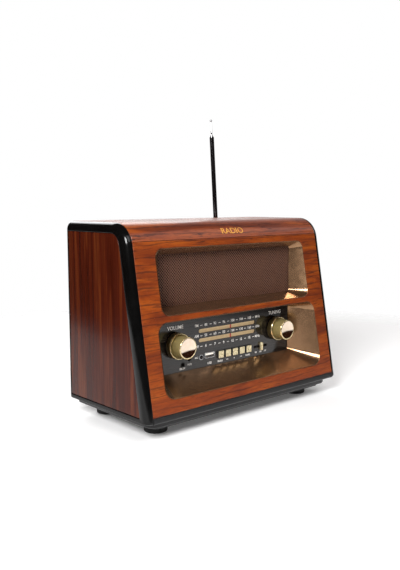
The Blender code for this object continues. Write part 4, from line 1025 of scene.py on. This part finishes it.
def makeSoftboxes():
    aim = Vector((0, 0, topZ / 2))
    for name, (direction, distance, width, height, watts) in studio["softboxes"].items():
        lamp = bpy.data.lights.new("softbox_" + name, "AREA")
        lamp.shape, lamp.size, lamp.size_y, lamp.energy = "RECTANGLE", width, height, watts
        stand = bpy.data.objects.new("softbox_" + name, lamp)
        stand.location = aim + Vector(direction).normalized() * distance
        stand.rotation_euler = (-Vector(direction)).to_track_quat("-Z", "Y").to_euler()
        scene.collection.objects.link(stand)


# A round sheet that fades out towards its edge.
def makeFloor():
    spec = studio["floor"]
    bm = bmesh.new()
    inner, outer = [[bm.verts.new((x, y, 0)) for x, y in circle(0, 0, radius, spec["sides"])]
                    for radius in (spec["middle"], spec["radius"])]
    bm.faces.new(inner)
    for i in range(spec["sides"]):
        j = (i + 1) % spec["sides"]
        bm.faces.new((inner[i], inner[j], outer[j], outer[i]))
    mesh = toMesh(bm, "studio_floor")
    material, tree, shader = newMaterial("paper_white_matt")   # matt white background paper
    place = addNode(tree, "TexCoord").outputs["Object"]
    reach = addNode(tree, "VectorMath", {0: place}, operation="LENGTH").outputs["Value"]
    fade = addNode(tree, "MapRange", {"Value": reach, "From Min": spec["radius"] * spec["fadeFrom"],
                                      "From Max": spec["radius"], "To Min": 1.0, "To Max": 0.0})
    feed(tree, shader, {"Base Color": spec["tone"], "Roughness": 0.9, "Emission Color": spec["tone"],
                        "Emission Strength": spec["glow"], "Alpha": fade.outputs[0]})
    mesh.materials.append(material)
    floor = bpy.data.objects.new("studio_floor", mesh)
    scene.collection.objects.link(floor)


def makeRoom():
    spec = studio["room"]
    world = bpy.data.worlds.new("studio_world")
    scene.world = world
    world.use_nodes = True
    tree = world.node_tree
    tree.nodes.clear()
    direction = addNode(tree, "TexCoord").outputs["Generated"]
    height = addNode(tree, "SeparateXYZ", {"Vector": direction}).outputs["Z"]
    along = addNode(tree, "VectorMath", {0: direction, 1: spec["wall"]}, operation="DOT_PRODUCT")
    wall = addNode(tree, "MapRange", {"Value": along.outputs["Value"], "From Min": spec["sides"][0],
                                      "From Max": spec["sides"][1]})
    upward = addNode(tree, "MapRange", {"Value": height, "From Min": spec["top"][0],
                                        "From Max": spec["top"][1], "To Min": 1.0,
                                        "To Max": spec["ceiling"]})
    share = addNode(tree, "Math", {0: wall.outputs[0], 1: upward.outputs[0]}, operation="MULTIPLY")
    colour = addNode(tree, "MixRGB", {"Fac": share.outputs[0], "Color1": spec["tone"], "Color2": "#FFFFFF"})
    seen = addNode(tree, "LightPath").outputs["Is Camera Ray"]
    plain = addNode(tree, "MixRGB", {"Fac": seen, "Color1": colour.outputs[0], "Color2": "#FFFFFF"})
    light = addNode(tree, "Background", {"Color": plain.outputs[0], "Strength": 1.0})
    out = addNode(tree, "OutputWorld")
    tree.links.new(light.outputs[0], out.inputs["Surface"])


makeCamera()
makeSoftboxes()
makeFloor()
makeRoom()
scene.view_settings.view_transform = "Standard"
print("studio made")
